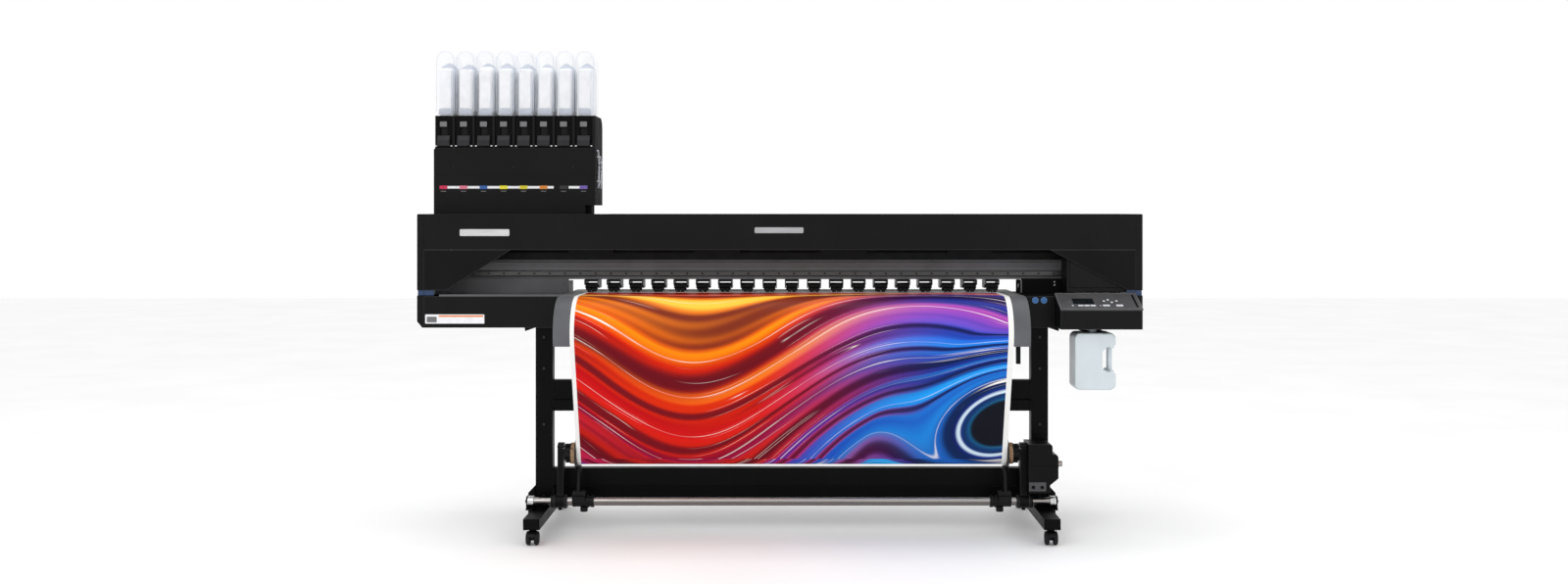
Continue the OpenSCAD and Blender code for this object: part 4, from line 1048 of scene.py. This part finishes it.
def refine_all():
    """Rounds the edges of every CAD node that has no finely made piece of its own."""
    tray_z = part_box("y_beam")[1].z - 0.050
    latch_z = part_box("ink_unit_rack")[0].z + 0.0545
    spots = pack_spots()
    pipe_half, table_half = 0.9721, 0.8719  # the pipe without its caps, the table under the media
    # the lighter edge look goes on the rounded edges as a painted highlight, also as the motor housing's
    # third look
    painted_highlight_edges = {"edge_index": 1}

    def table_look(face, at):
        if abs(at.x - STAND_X) < table_half:
            return 0
        return 1 if at.x < 0 else 2

    def rack_look(face, at):
        if at.y < 0.0455 and at.z < latch_z and min(abs(at.x - x) for x in spots) < 0.0245:
            return 2
        return abs(face.normal.x) > 0.5 or abs(at.y - 0.046) < 0.0005

    # node, edge radius, looks, slot and further options
    for node, width, looks, slot, *more in (
        ("foot_beams", 0.0009, "stand", "stand_black"),
        ("stand_posts", 0.0008, "stand", "stand_black"),
        ("crossbeams", 0.0010, "stand", "stand_black"),
        ("support_brackets", 0.0010, "stand", "stand_black"),
        ("stand_bolts", 0.0005, "zinc", "steel"),
        ("base_pipe", 0.0003, "pipe bright", "stainless",
         {"choose": lambda face, at: abs(at.x - STAND_X) > pipe_half}),
        ("guide_arms", 0.0008, "plastic", "black_plastic"),
        ("machine_frame", 0.0008, "frame", "frame_black"),
        ("lower_front_cover", 0.0012, "cover edge", "cover_black", painted_highlight_edges),
        ("control_box", 0.0012, "cover edge", "cover_black", painted_highlight_edges),
        ("control_panel", 0.0006, "panel plastic", "panel_grey",
         {"choose": lambda face, at: abs(at.x - 1.342) < 0.0045}),
        ("wing_covers", 0.0010, "wing edge", "cover_black", painted_highlight_edges),
        ("side_covers", 0.0010, "cover blue", "cover_black", {"choose": on_strip}),
        ("rear_cover", 0.0008, "cover edge", "cover_black", painted_highlight_edges),
        ("front_cover", 0.0014, "cover edge", "cover_black", painted_highlight_edges),
        ("y_beam", 0.0006, "beam plastic", "beam_grey", {"choose": lambda face, at: at.z > tray_z}),
        ("linear_rail", 0.0002, "steel", "steel"),
        ("pinch_holders", 0.0010, "plastic", "black_plastic"),
        ("pinch_arms", 0.0006, "plastic", "black_plastic"),
        ("pinch_rollers", 0.0005, "rubber", "rubber"),
        ("platen", 0.0004, "table inner dull", "table_grey", {"choose": table_look}),
        ("paper_guide", 0.0009, "guide frame", "guide_grey",
         {"choose": lambda face, at: at.z < 0.70}),  # the bracket under its right end
        ("ink_unit_case", 0.0006, "cover dull", "cover_black",
         {"choose": lambda face, at: abs(face.normal.x) > 0.5}),
        ("ink_unit_rack", 0.0006, "plastic dull ramp", "black_plastic", {"choose": rack_look}),
        ("carriage", 0.0010, "plastic", "black_plastic"),
        ("grit_roller", 0.0004, "steel", "steel"),
        ("takeup_arm_left", 0.0008, "frame edge", "frame_black", painted_highlight_edges),
        ("takeup_arm_right", 0.0008, "frame edge", "frame_black", painted_highlight_edges),
        ("motor_housing", 0.0009, "frame grey_plastic edge", "frame_black",
         {"choose": lambda face, at: at.y < -0.2151, "edge_index": 2}),  # the switch plate
        ("hub_left", 0.0006, "plastic", "black_plastic"),
        ("hub_right", 0.0006, "plastic", "black_plastic"),
        ("torque_knob", 0.0006, "stainless", "steel"),
        ("toggle_left", 0.0004, "plastic", "black_plastic"),
        ("toggle_right", 0.0004, "plastic", "black_plastic"),
        ("waste_tank", 0.0070, "tank", "clear_plastic", {"segments": 4}),
        ("key_left", 0.0004, "key", "key_grey"),
        ("key_middle", 0.0004, "key", "key_grey"),
        ("key_right", 0.0004, "key", "key_grey"),
        ("key_end", 0.0004, "key", "key_grey"),
        ("key_enter", 0.0004, "key", "key_grey"),
        ("key_arrows", 0.0004, "panel", "key_grey"),
    ):
        refine(node, width, looks, slot, **dict(*more))


# ---- run ----

camera()
studio()
refine_all()
media_web()
wound_roll("takeup", "takeup_roll", REEL_R, printed=True)
wound_roll("supply", "supply_roll", SUPPLY_R, spindle=True)
for corner in ("front_left", "front_right", "rear_left", "rear_right"):
    caster(corner)
for number in range(1, 9):
    ink_pack(number)
nameplates()
lower_labels()
case_trim()
panel_trim()
inner_trim()
